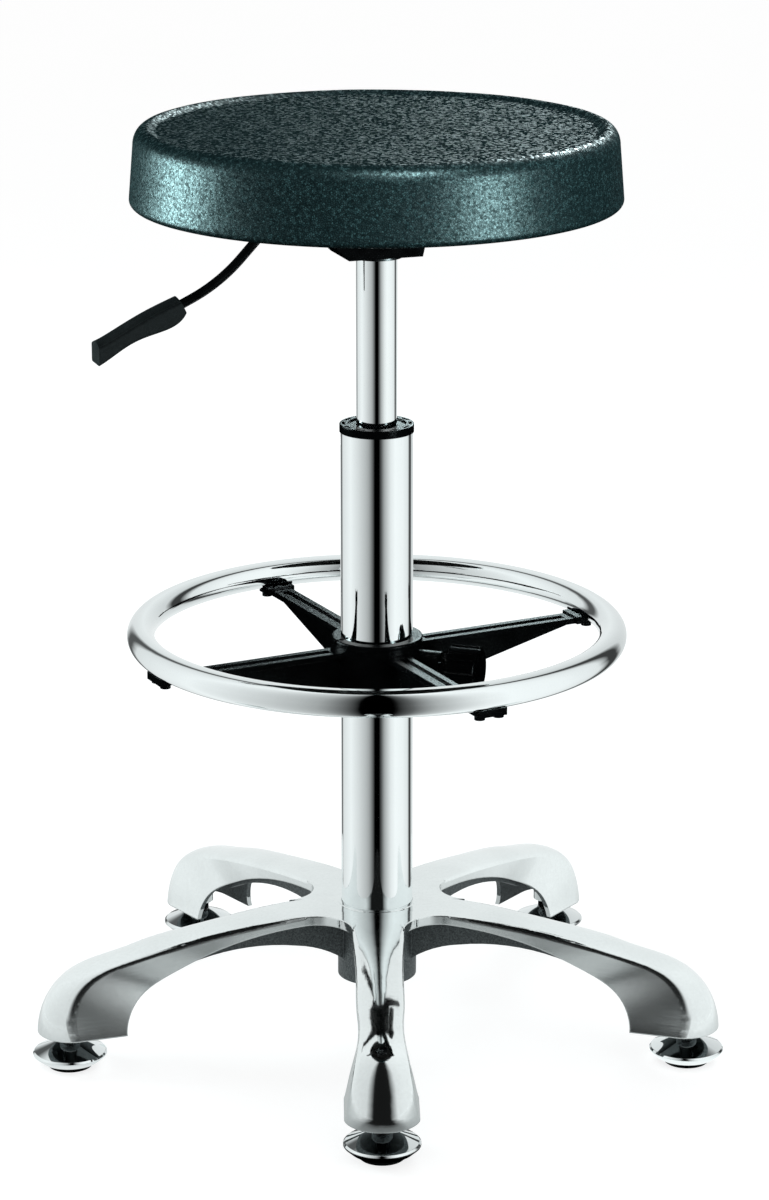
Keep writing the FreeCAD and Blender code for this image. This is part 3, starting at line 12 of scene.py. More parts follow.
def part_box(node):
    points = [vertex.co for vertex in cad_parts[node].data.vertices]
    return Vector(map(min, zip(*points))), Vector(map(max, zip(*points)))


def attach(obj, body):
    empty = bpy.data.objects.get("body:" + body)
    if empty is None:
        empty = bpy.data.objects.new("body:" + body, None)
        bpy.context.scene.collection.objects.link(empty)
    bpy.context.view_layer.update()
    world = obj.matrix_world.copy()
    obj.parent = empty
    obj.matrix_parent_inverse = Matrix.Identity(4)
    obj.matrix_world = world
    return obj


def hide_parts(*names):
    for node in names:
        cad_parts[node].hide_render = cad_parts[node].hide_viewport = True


bl_info = {
    "name": "Work Stool Finish",
    "version": (1, 0, 0),
    "blender": (4, 5, 0),
    "location": "3D View > Sidebar > Stool",
    "description": "Builds the visible finish of a gas-lift work stool round its CAD frame",
    "category": "Object",
}

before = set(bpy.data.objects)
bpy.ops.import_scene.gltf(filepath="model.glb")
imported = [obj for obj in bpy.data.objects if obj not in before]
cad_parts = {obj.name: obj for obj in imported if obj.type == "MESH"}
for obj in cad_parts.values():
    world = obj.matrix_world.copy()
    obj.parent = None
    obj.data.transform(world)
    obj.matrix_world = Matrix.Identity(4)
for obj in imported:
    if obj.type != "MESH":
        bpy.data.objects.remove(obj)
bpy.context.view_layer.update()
SEAT_LOW, SEAT_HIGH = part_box("seat_cushion")
BOARD_LOW, BOARD_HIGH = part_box("seat_board")
GLIDES = range(1, 6)
CHROME_NODES = ["column_tube", "gas_cylinder", "footring_tube"] + ["glide_cap_%d" % k for k in GLIDES]
STEEL_NODES = [
    "column_end_plate", "lower_race", "upper_race", "bearing_balls", "piston_rod", "rod_clip",
    "taper_socket", "lever_pin", "seat_screws", "board_nuts", "clamp_nut", "clamp_stud", "release_pin",
]
ALLOY_NODES = ["piston", "cylinder_gland", "valve_body"]
NYLON_NODES = ["guide_bush", "footring_hub", "clamp_sleeve", "clamp_pad", "clamp_knob", "bearing_cage"]
SOLE_NODES = ["glide_sole_%d" % k for k in GLIDES]
PAINT_NODES = ["lift_housing", "lever_rod", "seat_plate", "ring_screws"] + ["glide_stem_%d" % k for k in GLIDES]

# Mesh steps along each part of the seat's half section
CEILING_STEPS, POCKET_STEPS, UNDERSIDE_STEPS, LOWER_STEPS = 24, 4, 8, 8
SIDE_STEPS, SHOULDER_STEPS, SLOPE_STEPS, TOP_STEPS = 26, 18, 26, 60

# Grey levels round the stool, as pairs of degrees to the right of the camera and level
CHROME_TONES = [
    (-180, 0.9), (-158, 0.8), (-150, 0.1), (-143, 0.1), (-135, 0.8), (-90, 1.0), (-60, 0.78), (-35, 0.55),
    (-25, 0.42), (-15, 0.18), (-7, 0.0), (8, 0.0), (15, 0.12), (25, 0.45), (45, 0.9), (60, 1.05),
    (90, 1.0), (115, 0.85), (125, 0.05), (134, 0.05), (142, 0.7), (180, 0.9),
]
CASTING_TONES = [
    (-180, 0.92), (-110, 1.0), (-60, 0.85), (-36, 0.8), (-19, 0.01), (19, 0.01), (36, 0.9), (60, 1.0),
    (110, 1.05), (180, 0.92),
]
# Heights of the floor cards, apart so that neither hides the other
CHROME_CARD_HEIGHT, CASTING_CARD_HEIGHT = 0.0005, 0.001

# Name, azimuth and elevation in degrees, width and height in metres, watts, colour setting, pieces lit
LAMPS = [
    ("seat_left", 170, 2, (1.1, 0.8), 160, "seat_lamp", "seat"),
    ("seat_right", -40, 2, (0.8, 0.8), 115, "seat_lamp", "seat"),
    ("seat_front", -72, 44, (0.4, 0.4), 125, "seat_lamp", "seat"),
    ("seat_back", 74, 30, (0.9, 0.4), 19, "trim_lamp", "seat"),
    ("seat_rim", 56, 38, (0.4, 0.4), 120, "trim_lamp", "seat"),
    ("trim_left", 164, 12, (0.9, 0.8), 20, "trim_lamp", "trim"),
    ("trim_right", -38, 2, (0.5, 0.8), 8, "trim_lamp", "trim"),
    ("trim_back", 74, 20, (1.2, 0.5), 14, "trim_lamp", "trim"),
]
LAMP_REACH = 2.2
LAMP_TARGET = Vector((0, 0, 0.5))
SENSOR_WIDTH = 36.0


def length(name, default, description):
    """A length in metres that a user can change."""
    return FloatProperty(name=name, description=description, default=default, min=0.0, precision=5,
                         subtype="DISTANCE", unit="LENGTH")


def share(name, default, description):
    """A factor from 0 to 1 that a user can change."""
    return FloatProperty(name=name, description=description, default=default, min=0.0, max=1.0)


def tint(name, default, description):
    """A linear colour that a user can change."""
    return FloatVectorProperty(name=name, description=description, default=default, min=0.0, max=1.0,
                               size=3, subtype="COLOR")


class SeatSettings(PropertyGroup):
    """Shape and skin of the seat"""
    draw: length("Side draw", 0.003, "How much narrower the seat is at its rim")
    brow: length("Brow", 0.009, "Distance from the seat's side to the crest of its rim")
    shoulder: length("Shoulder", 0.012, "Height of the rounded shoulder below the crest")
    slope: length("Rim slope", 0.007, "Width of the slope inside the crest")
    dish: length("Dish", 0.003, "Depth of the dished top")
    lower_round: length("Lower round", 0.004, "Rounded lower edge")
    board_gap: length("Board gap", 0.0002, "Gap between the foam and its board")
    waviness: length("Waviness", 0.00016, "Unevenness of the moulded foam")
    grain: length("Grain", 0.0013, "Size of one pebble of the skin's grain")
    grain_depth: length("Grain depth", 0.00028, "Depth of the grain")
    # The specks are pebbles with painted glints: a lighter colour everywhere, and more gloss on top.
    speck: length("Specks", 0.0016, "Size of the specks on top that use has polished")
    segments: IntProperty(name="Segments", description="Mesh segments round the seat", default=192, min=32)
    # Painted shade: skin is the darker colour laid in the creases between the pebbles; worn is the pebble tops'
    # own colour, not wear.
    skin: tint("Skin", (0.001, 0.0018, 0.002), "Colour of the skin in its creases")
    worn: tint("Grain", (0.004, 0.007, 0.0075), "Colour on top of the pebbles")
    # Painted glints: polished is the lighter colour of the rare speck pebbles.
    polished: tint("Polished grain", (0.014, 0.022, 0.023), "Colour of the pebbles that use has polished")


class MetalSettings(PropertyGroup):
    """Colours of the metal finishes"""
    chrome: tint("Chrome", (0.88, 0.92, 0.925), "Colour of the chrome plate")
    casting: tint("Polished casting", (0.84, 0.88, 0.88), "Colour of the polished aluminium")
    # Unpolished aluminium, partly real and partly painted shade: far darker than bare metal under the legs and in
    # the hollows.
    raw_and_shaded_casting: tint("Raw casting", (0.20, 0.225, 0.23), "Colour of the unpolished aluminium")
    steel: tint("Steel", (0.56, 0.58, 0.59), "Colour of the zinc-plated steel")
    alloy: tint("Light alloy", (0.70, 0.72, 0.73), "Colour of the turned aluminium")
    paint: tint("Black paint", (0.003, 0.0035, 0.004), "Colour of the gloss black coat")
    paint_edge: tint("Paint edge", (0.008, 0.009, 0.010), "Colour where the coat is thin")


class MouldingSettings(PropertyGroup):
    """Colours of the moulded pieces and the board"""
    nylon: tint("Nylon", (0.0015, 0.0018, 0.002), "Colour of the black nylon")
    nylon_light: tint("Nylon bloom", (0.004, 0.005, 0.0055), "Colour of its paler patches")
    # Painted shade: grip is laid only in the creases of the grain; the lighter colour, labelled bloom, is the
    # raised pebbles' own colour.
    grip: tint("Grip", (0.010, 0.015, 0.016), "Colour of the lever's grip")
    grip_pebble_tops: tint("Grip bloom", (0.022, 0.031, 0.033), "Colour of the grip's raised texture")
    sole: tint("Sole", (0.010, 0.010, 0.011), "Colour of the glides' soles")
    rubber: tint("Rubber", (0.012, 0.012, 0.012), "Colour of the rubber stop")
    board: tint("Board", (0.030, 0.028, 0.026), "Colour of the stained plywood")
    board_dark: tint("Board grain", (0.010, 0.009, 0.008), "Colour of its grain lines")


class StudioSettings(PropertyGroup):
    """Camera, room, reflectors and lamps"""
    distance: length("Camera distance", 2.5204, "Level distance from the column to the camera")
    height: length("Camera height", 1.0538, "Height of the camera above the floor")
    aside: length("Camera aside", 0.0053, "How far the camera stands to the right of that line")
    azimuth: FloatProperty(name="Camera azimuth", description="Direction of the camera from the column",
                           default=math.radians(-90.97), subtype="ANGLE", unit="ROTATION")
    pitch: FloatProperty(name="Camera pitch", description="How far the camera looks down",
                         default=math.radians(16.35), subtype="ANGLE", unit="ROTATION")
    lens: FloatProperty(name="Lens", description="Focal length", default=114.245, subtype="DISTANCE_CAMERA")
    floor_size: length("Floor", 40.0, "Side of the floor")
    far_dome: length("Far dome", 3.0, "Radius of the dome of reflectors round the chrome")
    near_dome: length("Near dome", 0.8, "Radius of the dome of reflectors round the casting")
    apron_radius: length("Apron radius", 0.27, "Radius of the grey card under the stool")
    apron_level: share("Apron level", 0.55, "Level of that card")
    seat_lamp: tint("Seat lamps", (0.58, 0.97, 1.0), "Colour of the lamps on the seat")
    trim_lamp: tint("Trim lamps", (0.80, 0.98, 1.0), "Colour of the lamps on the black pieces")
    ambient: share("Ambient", 0.42, "Strength of the room's own light")
    floor: tint("Floor", (0.45, 0.45, 0.45), "Colour of the floor's matt part")
    floor_glow: share("Floor glow", 0.80, "Strength of the floor's own white")


class Graph:
    """A node tree that is written from left to right."""

    def __init__(self, tree):
        self.tree = tree

    def add(self, kind, inputs=None, **settings):
        """Add a node, set its settings, and give its inputs plain values or link them to outputs."""
        item = self.tree.nodes.new(kind)
        for name, value in settings.items():
            setattr(item, name, value)
        for name, value in (inputs or {}).items():
            if isinstance(value, NodeSocket):
                self.tree.links.new(value, item.inputs[name])
            else:
                item.inputs[name].default_value = value
        item.location = (220 * len(self.tree.nodes), 0)
        return item

    def math(self, operation, first, second=0.0, third=0.0, clamp=False):
        """Combine up to three values."""
        item = self.add("ShaderNodeMath", {0: first, 1: second, 2: third}, operation=operation, use_clamp=clamp)
        return item.outputs[0]

    def link(self, value, socket):
        """Link an output to an input."""
        self.tree.links.new(value, socket)

    def blend(self, factor, first, second):
        """Mix two colours by a mask."""
        item = self.add("ShaderNodeMix", data_type="RGBA")
        colours = [socket for socket in item.inputs if socket.type == "RGBA"]
        for socket, value in ((item.inputs["Factor"], factor), (colours[0], first), (colours[1], second)):
            if isinstance(value, NodeSocket):
                self.link(value, socket)
            else:
                socket.default_value = value
        return next(socket for socket in item.outputs if socket.type == "RGBA")

    def span(self, value, low, high):
        """Spread a value from 0 to 1 between two limits."""
        item = self.add("ShaderNodeMapRange", {"Value": value, "To Min": low, "To Max": high})
        return item.outputs[0]

    def ease(self, value, start, end):
        """A mask that rises from 0 to 1 while a value goes from its start to its end."""
        return self.add("ShaderNodeMapRange", {"Value": value, "From Min": start, "From Max": end}).outputs[0]

    def vector_math(self, operation, inputs):
        """Combine two vectors, or a vector and a scale."""
        return self.add("ShaderNodeVectorMath", inputs, operation=operation).outputs[0]

    def noise(self, place, scale, detail, **inputs):
        """Cloudy noise from 0 to 1."""
        inputs.update({"Vector": place, "Scale": scale, "Detail": detail})
        return self.add("ShaderNodeTexNoise", inputs).outputs["Fac"]

    def parts(self, vector):
        """The X, Y and Z of a vector."""
        return self.add("ShaderNodeSeparateXYZ", {0: vector}).outputs

    def place(self):
        """Position in the piece's own frame."""
        return self.add("ShaderNodeTexCoord").outputs["Object"]


def rgba(colour, factor=1.0):
    """A colour setting, lighter or darker by a factor, for a shader socket."""
    return (colour[0] * factor, colour[1] * factor, colour[2] * factor, 1.0)


def effect_group(name, inputs, outputs):
    """Start a shared shader effect with named number inputs and outputs."""
    tree = bpy.data.node_groups.new(name, "ShaderNodeTree")
    for label, default in inputs.items():
        socket = tree.interface.new_socket(label, in_out="INPUT", socket_type="NodeSocketFloat")
        socket.default_value = default
    for label in outputs:
        tree.interface.new_socket(label, in_out="OUTPUT", socket_type="NodeSocketFloat")
    graph = Graph(tree)
    return graph, graph.add("NodeGroupInput").outputs, graph.add("NodeGroupOutput").inputs


def pebble_grain():
    """Raised pebbles with creases between them, as on moulded skin and spark-eroded plastic."""
    name = "pebble_grain"
    if name in bpy.data.node_groups:
        return bpy.data.node_groups[name]
    drift_scale, crease_slope, fine_scale, fine_depth = 420.0, 4.0, 2.6, 0.35
    graph, given, result = effect_group(name, {"Scale": 600.0, "Warp": 0.0004}, ["Height", "Crease", "Chance"])
    place, scale = graph.place(), given["Scale"]
    drift = graph.add("ShaderNodeTexNoise", {"Vector": place, "Scale": drift_scale, "Detail": 1.0})
    centred = graph.vector_math("SUBTRACT", {0: drift.outputs["Color"], 1: (0.5, 0.5, 0.5)})
    shift = graph.vector_math("SCALE", {0: centred, "Scale": given["Warp"]})
    moved = graph.vector_math("ADD", {0: place, 1: shift})
    edge = graph.add("ShaderNodeTexVoronoi", {"Vector": moved, "Scale": scale}, feature="DISTANCE_TO_EDGE")
    dome = graph.add("ShaderNodeTexVoronoi", {"Vector": moved, "Scale": scale, "Smoothness": 0.35},
                     feature="SMOOTH_F1")
    cell = graph.add("ShaderNodeTexVoronoi", {"Vector": moved, "Scale": scale})
    fine = graph.noise(place, graph.math("MULTIPLY", scale, fine_scale), detail=2.0)
    crease = graph.math("MULTIPLY", edge.outputs["Distance"], crease_slope, clamp=True)
    top = graph.math("SUBTRACT", 1.0, dome.outputs["Distance"], clamp=True)
    height = graph.math("ADD", graph.math("MULTIPLY", crease, top), graph.math("MULTIPLY", fine, fine_depth))
    chance = graph.add("ShaderNodeSeparateColor", {0: cell.outputs["Color"]}).outputs[0]
    graph.link(height, result["Height"])
    graph.link(graph.math("SUBTRACT", 1.0, crease), result["Crease"])
    graph.link(chance, result["Chance"])
    return graph.tree


def handling_marks():
    """Soft clouds and fine scuffs that make a worked surface's gloss uneven."""
    name = "handling_marks"
    if name in bpy.data.node_groups:
        return bpy.data.node_groups[name]
    scuff_scale, cloud_share, scuff_share, mask_start, mask_end = 22.0, 0.7, 0.3, 0.32, 0.68
    graph, given, result = effect_group(name, {"Scale": 40.0, "Low": 0.05, "High": 0.15}, ["Roughness", "Mask"])
    place = graph.place()
    cloud = graph.noise(place, given["Scale"], detail=4.0)
    scuff = graph.noise(place, graph.math("MULTIPLY", given["Scale"], scuff_scale), detail=2.0)
    both = graph.math("ADD", graph.math("MULTIPLY", cloud, cloud_share),
                      graph.math("MULTIPLY", scuff, scuff_share))
    mask = graph.ease(both, mask_start, mask_end)
    graph.link(graph.span(mask, given["Low"], given["High"]), result["Roughness"])
    graph.link(mask, result["Mask"])
    return graph.tree


def polishing_lines():
    """Faint lines left by a polishing wheel or a lathe, along one axis."""
    name = "polishing_lines"
    if name in bpy.data.node_groups:
        return bpy.data.node_groups[name]
    graph, given, result = effect_group(name, {"Along": 30.0, "Across": 900.0}, ["Height"])
    parts = graph.parts(graph.place())
    stretched = graph.add("ShaderNodeCombineXYZ", {
        "X": graph.math("MULTIPLY", parts["X"], given["Along"]),
        "Y": graph.math("MULTIPLY", parts["Y"], given["Along"]),
        "Z": graph.math("MULTIPLY", parts["Z"], given["Across"])}).outputs[0]
    graph.link(graph.noise(stretched, scale=1.0, detail=3.0), result["Height"])
    return graph.tree


def unpolished_mask():
    """Mask of what the polishing wheel can't reach on a five-legged casting, faces turned down among them, and of
    the legs' satin sides; the casting also lays painted shade on that area.
    """
    name = "unpolished_mask"
    if name in bpy.data.node_groups:
        return bpy.data.node_groups[name]
    under_limit, inward_limit, rib_lean, side_start, side_end = -0.25, -0.2, 0.6, 0.8, 0.97
    graph, given, result = effect_group(name, {"Rib": 0.0075, "Hub": 0.036, "Hub Top": 0.087}, ["Mask", "Side"])
    place = graph.parts(graph.place())
    facing = graph.parts(graph.add("ShaderNodeNewGeometry").outputs["True Normal"])
    step = 2 * math.pi / len(GLIDES)
    turn = graph.math("ADD", graph.math("ARCTAN2", place["Y"], place["X"]), math.pi / 2)
    leg = graph.math("MULTIPLY", graph.math("ROUND", graph.math("DIVIDE", turn, step)), step)
    # A leg's sideways direction is its own direction, a quarter turn on; the first leg lies along -Y.
    across_x, across_y = graph.math("COSINE", leg), graph.math("SINE", leg)

    def sideways(vector):
        return graph.math("ADD", graph.math("MULTIPLY", vector["X"], across_x),
                          graph.math("MULTIPLY", vector["Y"], across_y))
    offset, lean = sideways(place), sideways(facing)
    steep = graph.math("ABSOLUTE", lean)
    under = graph.math("LESS_THAN", facing["Z"], under_limit)
    inward = graph.math("LESS_THAN", graph.math("MULTIPLY", graph.math("SIGN", offset), lean), inward_limit)
    on_rib = graph.math("MULTIPLY", graph.math("LESS_THAN", graph.math("ABSOLUTE", offset), given["Rib"]),
                        graph.math("GREATER_THAN", steep, rib_lean))
    reach = graph.math("SQRT", graph.math("ADD", graph.math("MULTIPLY", place["X"], place["X"]),
                                          graph.math("MULTIPLY", place["Y"], place["Y"])))
    on_hub = graph.math("MULTIPLY", graph.math("LESS_THAN", reach, given["Hub"]),
                        graph.math("LESS_THAN", place["Z"], given["Hub Top"]))
    hollow, boss = graph.math("MAXIMUM", under, inward), graph.math("MAXIMUM", on_rib, on_hub)
    graph.link(graph.math("MAXIMUM", hollow, boss), result["Mask"])
    graph.link(graph.ease(steep, side_start, side_end), result["Side"])
    return graph.tree


class Finish(Graph):
    """A material with one Principled shader."""

    def __init__(self, name, **settings):
        self.material = bpy.data.materials.new(name)
        self.material.use_nodes = True
        super().__init__(self.material.node_tree)
        self.shader = self.tree.nodes["Principled BSDF"]
        for socket, value in settings.items():
            self.shader.inputs[socket.replace("_", " ")].default_value = value

    def effect(self, group, **inputs):
        """Place a shared effect and return its outputs."""
        item = self.add("ShaderNodeGroup", node_tree=group)
        for name, value in inputs.items():
            item.inputs[name].default_value = value
        return item.outputs

    def feed(self, socket, value):
        """Link a value to an input of the shader."""
        self.link(value, self.shader.inputs[socket])

    def wear(self, clean, worn, **marks):
        """Let handling marks vary the colour and the gloss."""
        outputs = self.effect(handling_marks(), **marks)
        self.feed("Base Color", self.blend(outputs["Mask"], clean, worn))
        self.feed("Roughness", outputs["Roughness"])
        return outputs

    def bump(self, height, depth, strength, edge=0.0):
        """Raise the surface by a height, over edges eased to a small radius."""
        inputs = {"Height": height, "Distance": depth, "Strength": strength}
        if edge:
            inputs["Normal"] = self.add("ShaderNodeBevel", {"Radius": edge}, samples=6).outputs[0]
        self.feed("Normal", self.add("ShaderNodeBump", inputs).outputs[0])


def dress(nodes, finish):
    """Give CAD nodes a material."""
    for name in nodes:
        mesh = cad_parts[name].data
        mesh.materials.clear()
        mesh.materials.append(finish.material)


def turned_metal(name, colour, fade, marks, lines, bump):
    """Metal with fine turning or polishing lines and uneven gloss."""
    finish = Finish(name, Metallic=1.0)
    finish.wear(rgba(colour), rgba(colour, fade), **marks)
    finish.bump(finish.effect(polishing_lines(), **lines)["Height"], **bump)
    return finish


def chrome_finish(metal):
    """Chrome plate on the column, cylinder, foot ring and glide caps."""
    return turned_metal("chrome_plate", metal.chrome, fade=0.97,
                        marks={"Scale": 26.0, "Low": 0.025, "High": 0.075},
                        lines={"Along": 14.0, "Across": 240.0},
                        bump={"depth": 0.00002, "strength": 0.5, "edge": 0.0004})


def steel_finish(metal):
    """Zinc-plated steel of the bearing, rod, screws and nuts."""
    return turned_metal("zinc_steel", metal.steel, fade=0.8,
                        marks={"Scale": 60.0, "Low": 0.22, "High": 0.42},
                        lines={"Along": 80.0, "Across": 1600.0},
                        bump={"depth": 0.00004, "strength": 0.5, "edge": 0.0003})


def alloy_finish(metal):
    """Turned aluminium of the piston, gland and valve."""
    return turned_metal("turned_alloy", metal.alloy, fade=0.85,
                        marks={"Scale": 70.0, "Low": 0.18, "High": 0.34},
                        lines={"Along": 20.0, "Across": 2400.0},
                        bump={"depth": 0.00005, "strength": 0.6, "edge": 0.0003})


def casting_finish(metal):
    """Aluminium casting: polished and satin outside, rough as cast in its hollows and underneath, where its
    colour is also darkened as painted shade.
    """
    satin_roughness, cast_roughness, cast_height, dark_sand, dull_polish = 0.14, 0.42, 9.0, 0.35, 0.9
    finish = Finish("polished_casting", Metallic=1.0)
    marks = finish.effect(handling_marks(), Scale=20.0, Low=0.05, High=0.10)
    lines = finish.effect(polishing_lines(), Along=60.0, Across=420.0)
    areas = finish.effect(unpolished_mask())
    raw = areas["Mask"]
    sand = finish.noise(finish.place(), scale=900.0, detail=4.0, Roughness=0.7)
    bright = finish.blend(marks["Mask"], rgba(metal.casting), rgba(metal.casting, dull_polish))
    grains = finish.ease(sand, start=0.35, end=0.65)
    # Real sand grain on a colour darkened as painted shade, for the unpolished hollows and undersides.
    dull = finish.blend(grains, rgba(metal.raw_and_shaded_casting, dark_sand), rgba(metal.raw_and_shaded_casting))
    finish.feed("Base Color", finish.blend(raw, bright, dull))
    satin = finish.math("MULTIPLY_ADD", areas["Side"], satin_roughness, marks["Roughness"])
    finish.feed("Roughness", finish.math("MULTIPLY_ADD", raw, cast_roughness, satin))
    polished = finish.math("MULTIPLY", lines["Height"], finish.math("SUBTRACT", 1.0, raw))
    cast = finish.math("MULTIPLY", sand, finish.math("MULTIPLY", raw, cast_height))
    finish.bump(finish.math("ADD", polished, cast), depth=0.00005, strength=0.6, edge=0.0012)
    return finish


def paint_finish(metal):
    """Gloss black coat with a slight orange peel."""
    finish = Finish("black_paint", Coat_Weight=0.6, Coat_Roughness=0.06, Specular_IOR_Level=0.5)
    finish.wear(rgba(metal.paint), rgba(metal.paint_edge), Scale=90.0, Low=0.16, High=0.30)
    peel = finish.noise(finish.place(), scale=700.0, detail=1.0)
    finish.bump(peel, depth=0.00008, strength=0.35, edge=0.0006)
    return finish


def nylon_finish(moulding):
    """Black nylon with a fine spark-eroded texture."""
    finish = Finish("black_nylon", Specular_IOR_Level=0.3)
    finish.wear(rgba(moulding.nylon), rgba(moulding.nylon_light), Scale=55.0, Low=0.16, High=0.28)
    grain = finish.effect(pebble_grain(), Scale=1800.0, Warp=0.0002)
    finish.bump(grain["Height"], depth=0.00006, strength=0.4, edge=0.0007)
    return finish


def grip_finish(moulding):
    """Grained plastic of the lever's grip."""
    finish = Finish("grip_plastic", Specular_IOR_Level=0.5)
    marks = finish.effect(handling_marks(), Scale=80.0, Low=0.34, High=0.5)
    grain = finish.effect(pebble_grain(), Scale=1100.0, Warp=0.0003)
    # Painted shade: the creases take the darker grip colour.
    finish.feed("Base Color", finish.blend(grain["Crease"], rgba(moulding.grip_pebble_tops), rgba(moulding.grip)))
    finish.feed("Roughness", marks["Roughness"])
    finish.bump(grain["Height"], depth=0.00018, strength=0.7)
    return finish


def sole_finish(moulding):
    """Hard plastic of the glides' soles."""
    finish = Finish("sole_plastic", Specular_IOR_Level=0.45)
    marks = finish.wear(rgba(moulding.sole), rgba(moulding.sole, 2.2), Scale=120.0, Low=0.32, High=0.55)
    finish.bump(marks["Mask"], depth=0.00005, strength=0.5, edge=0.0005)
    return finish


def rubber_finish(moulding):
    """Dull rubber of the stop inside the column."""
    finish = Finish("stop_rubber", Specular_IOR_Level=0.3)
    marks = finish.wear(rgba(moulding.rubber), rgba(moulding.rubber, 2.5), Scale=150.0, Low=0.6, High=0.85)
    finish.bump(marks["Mask"], depth=0.00008, strength=0.6, edge=0.0006)
    return finish


def board_finish(moulding):
    """Dark stained plywood with long wavy grain lines."""
    finish = Finish("plywood", Specular_IOR_Level=0.3)
    stretch = finish.add("ShaderNodeMapping", {"Vector": finish.place(), "Scale": (9.0, 120.0, 120.0)}).outputs[0]
    drift = finish.noise(stretch, scale=1.0, detail=5.0, Distortion=1.2)
    line = finish.ease(drift, start=0.38, end=0.66)
    finish.feed("Base Color", finish.blend(line, rgba(moulding.board), rgba(moulding.board_dark)))
    finish.feed("Roughness", finish.span(line, 0.55, 0.75))
    finish.bump(line, depth=0.0001, strength=0.4, edge=0.0005)
    return finish


def skin_finish(seat):
    """Integral foam skin: dull creases darkened with painted shade, and pebbles of uneven gloss; rare pebbles get
    painted glints in their colour, and on top only these few pebbles are glossy.
    """
    rare_start, rare_end, side_gloss, least_gloss, crease_dullness = 0.6, 0.85, 0.7, 0.12, 0.6
    finish = Finish("seat_skin", Specular_IOR_Level=0.0, Coat_Roughness=0.38)
    grain = finish.effect(pebble_grain(), Scale=1.0 / seat.grain, Warp=seat.grain * 0.5)
    marks = finish.effect(handling_marks(), Scale=18.0, Low=0.0, High=1.0)
    specks = finish.effect(pebble_grain(), Scale=1.0 / seat.speck, Warp=seat.speck * 0.6)
    # Rare speck pebbles carry painted glints in their base colour, as well as gloss on top.
    glint_specks = finish.ease(specks["Chance"], rare_start, rare_end)
    pebble = finish.blend(glint_specks, rgba(seat.worn), rgba(seat.polished))
    # Painted shade: the creases take the darker skin colour.
    finish.feed("Base Color", finish.blend(grain["Crease"], pebble, rgba(seat.skin)))
    facing = finish.parts(finish.add("ShaderNodeNewGeometry").outputs["Normal"])["Z"]
    top = finish.math("MULTIPLY", facing, facing)
    even = finish.math("MULTIPLY_ADD", grain["Chance"], side_gloss, least_gloss)
    gloss = finish.math("ADD", finish.math("MULTIPLY", glint_specks, top),
                        finish.math("MULTIPLY", even, finish.math("SUBTRACT", 1.0, top)))
    smooth = finish.math("SUBTRACT", 1.0, finish.math("MULTIPLY", grain["Crease"], crease_dullness))
    finish.feed("Coat Weight", finish.math("MULTIPLY", gloss, smooth))
    finish.feed("Roughness", finish.span(marks["Mask"], 0.5, 0.6))
    finish.bump(grain["Height"], depth=seat.grain_depth, strength=1.0)
    return finish


def mesh_piece(name, mesh_data, body, finish, crease=40.0):
    """Turn a finished bmesh into a piece that rides on a CAD body."""
    mesh = bpy.data.meshes.new(name)
    bmesh.ops.recalc_face_normals(mesh_data, faces=mesh_data.faces)
    mesh_data.to_mesh(mesh)
    mesh_data.free()
    mesh.shade_smooth()
    mesh.set_sharp_from_angle(angle=math.radians(crease))
    mesh.materials.append(finish.material)
    piece = bpy.data.objects.new(name, mesh)
    bpy.context.scene.collection.objects.link(piece)
    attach(piece, body)
    return piece


def arc(centre, radii, start, end, steps):
    """Points along an ellipse's arc, as radius and height."""
    points = []
    for i in range(steps + 1):
        angle = math.radians(start + (end - start) * i / steps)
        points.append((centre[0] + radii[0] * math.cos(angle), centre[1] + radii[1] * math.sin(angle)))
    return points


def run(first, last, steps):
    """Points along a straight line, without its first point."""
    return [tuple(a + (b - a) * i / steps for a, b in zip(first, last)) for i in range(1, steps + 1)]


def seat_profile(seat):
    """The seat's half section, from the axis over its underside, side and rim back to the axis."""
    base, rim = SEAT_LOW.z, SEAT_HIGH.z
    radius = (SEAT_HIGH.x - SEAT_LOW.x) / 2
    pocket = (BOARD_HIGH.x - BOARD_LOW.x) / 2 + seat.board_gap
    ceiling = BOARD_HIGH.z + seat.board_gap
    crest = radius - seat.draw - seat.brow
    floor = rim - seat.dish
    points = [(0.0, ceiling)] + run((0.0, ceiling), (pocket, ceiling), CEILING_STEPS)
    points += run((pocket, ceiling), (pocket, base), POCKET_STEPS)
    foot = (radius - seat.lower_round, base)
    points += run((pocket, base), foot, UNDERSIDE_STEPS)
    round_radii = (seat.lower_round, seat.lower_round)
    points += arc((foot[0], base + seat.lower_round), round_radii, -90, 0, LOWER_STEPS)[1:]
    shoulder = (radius - seat.draw, rim - seat.shoulder)
    points += run(points[-1], shoulder, SIDE_STEPS)
    points += arc((crest, shoulder[1]), (seat.brow, seat.shoulder), 0, 90, SHOULDER_STEPS)[1:]
    for i in range(1, SLOPE_STEPS + 1):
        fall = i / SLOPE_STEPS
        points.append((crest - seat.slope * fall, rim - seat.dish * fall * fall * (3 - 2 * fall)))
    points += run((crest - seat.slope, floor), (0.0, floor), TOP_STEPS)
    return points


def turned_mesh(profile, segments, shift):
    """Turn a half section about the axis; shift gives each point a small move."""
    on_axis = 1e-6
    data = bmesh.new()
    rings = []
    for radius, height in profile:
        count = 1 if radius < on_axis else segments
        ring = []
        for i in range(count):
            angle = 2 * math.pi * i / segments
            place = Vector((radius * math.cos(angle), radius * math.sin(angle), height))
            ring.append(data.verts.new(place + shift(place)))
        rings.append(ring)
    for low, high in zip(rings, rings[1:]):
        for i in range(segments):
            j = (i + 1) % segments
            corners = [low[i % len(low)], low[j % len(low)], high[j % len(high)], high[i % len(high)]]
            corners = [c for k, c in enumerate(corners) if c not in corners[:k]]
            data.faces.new(corners)
    return data


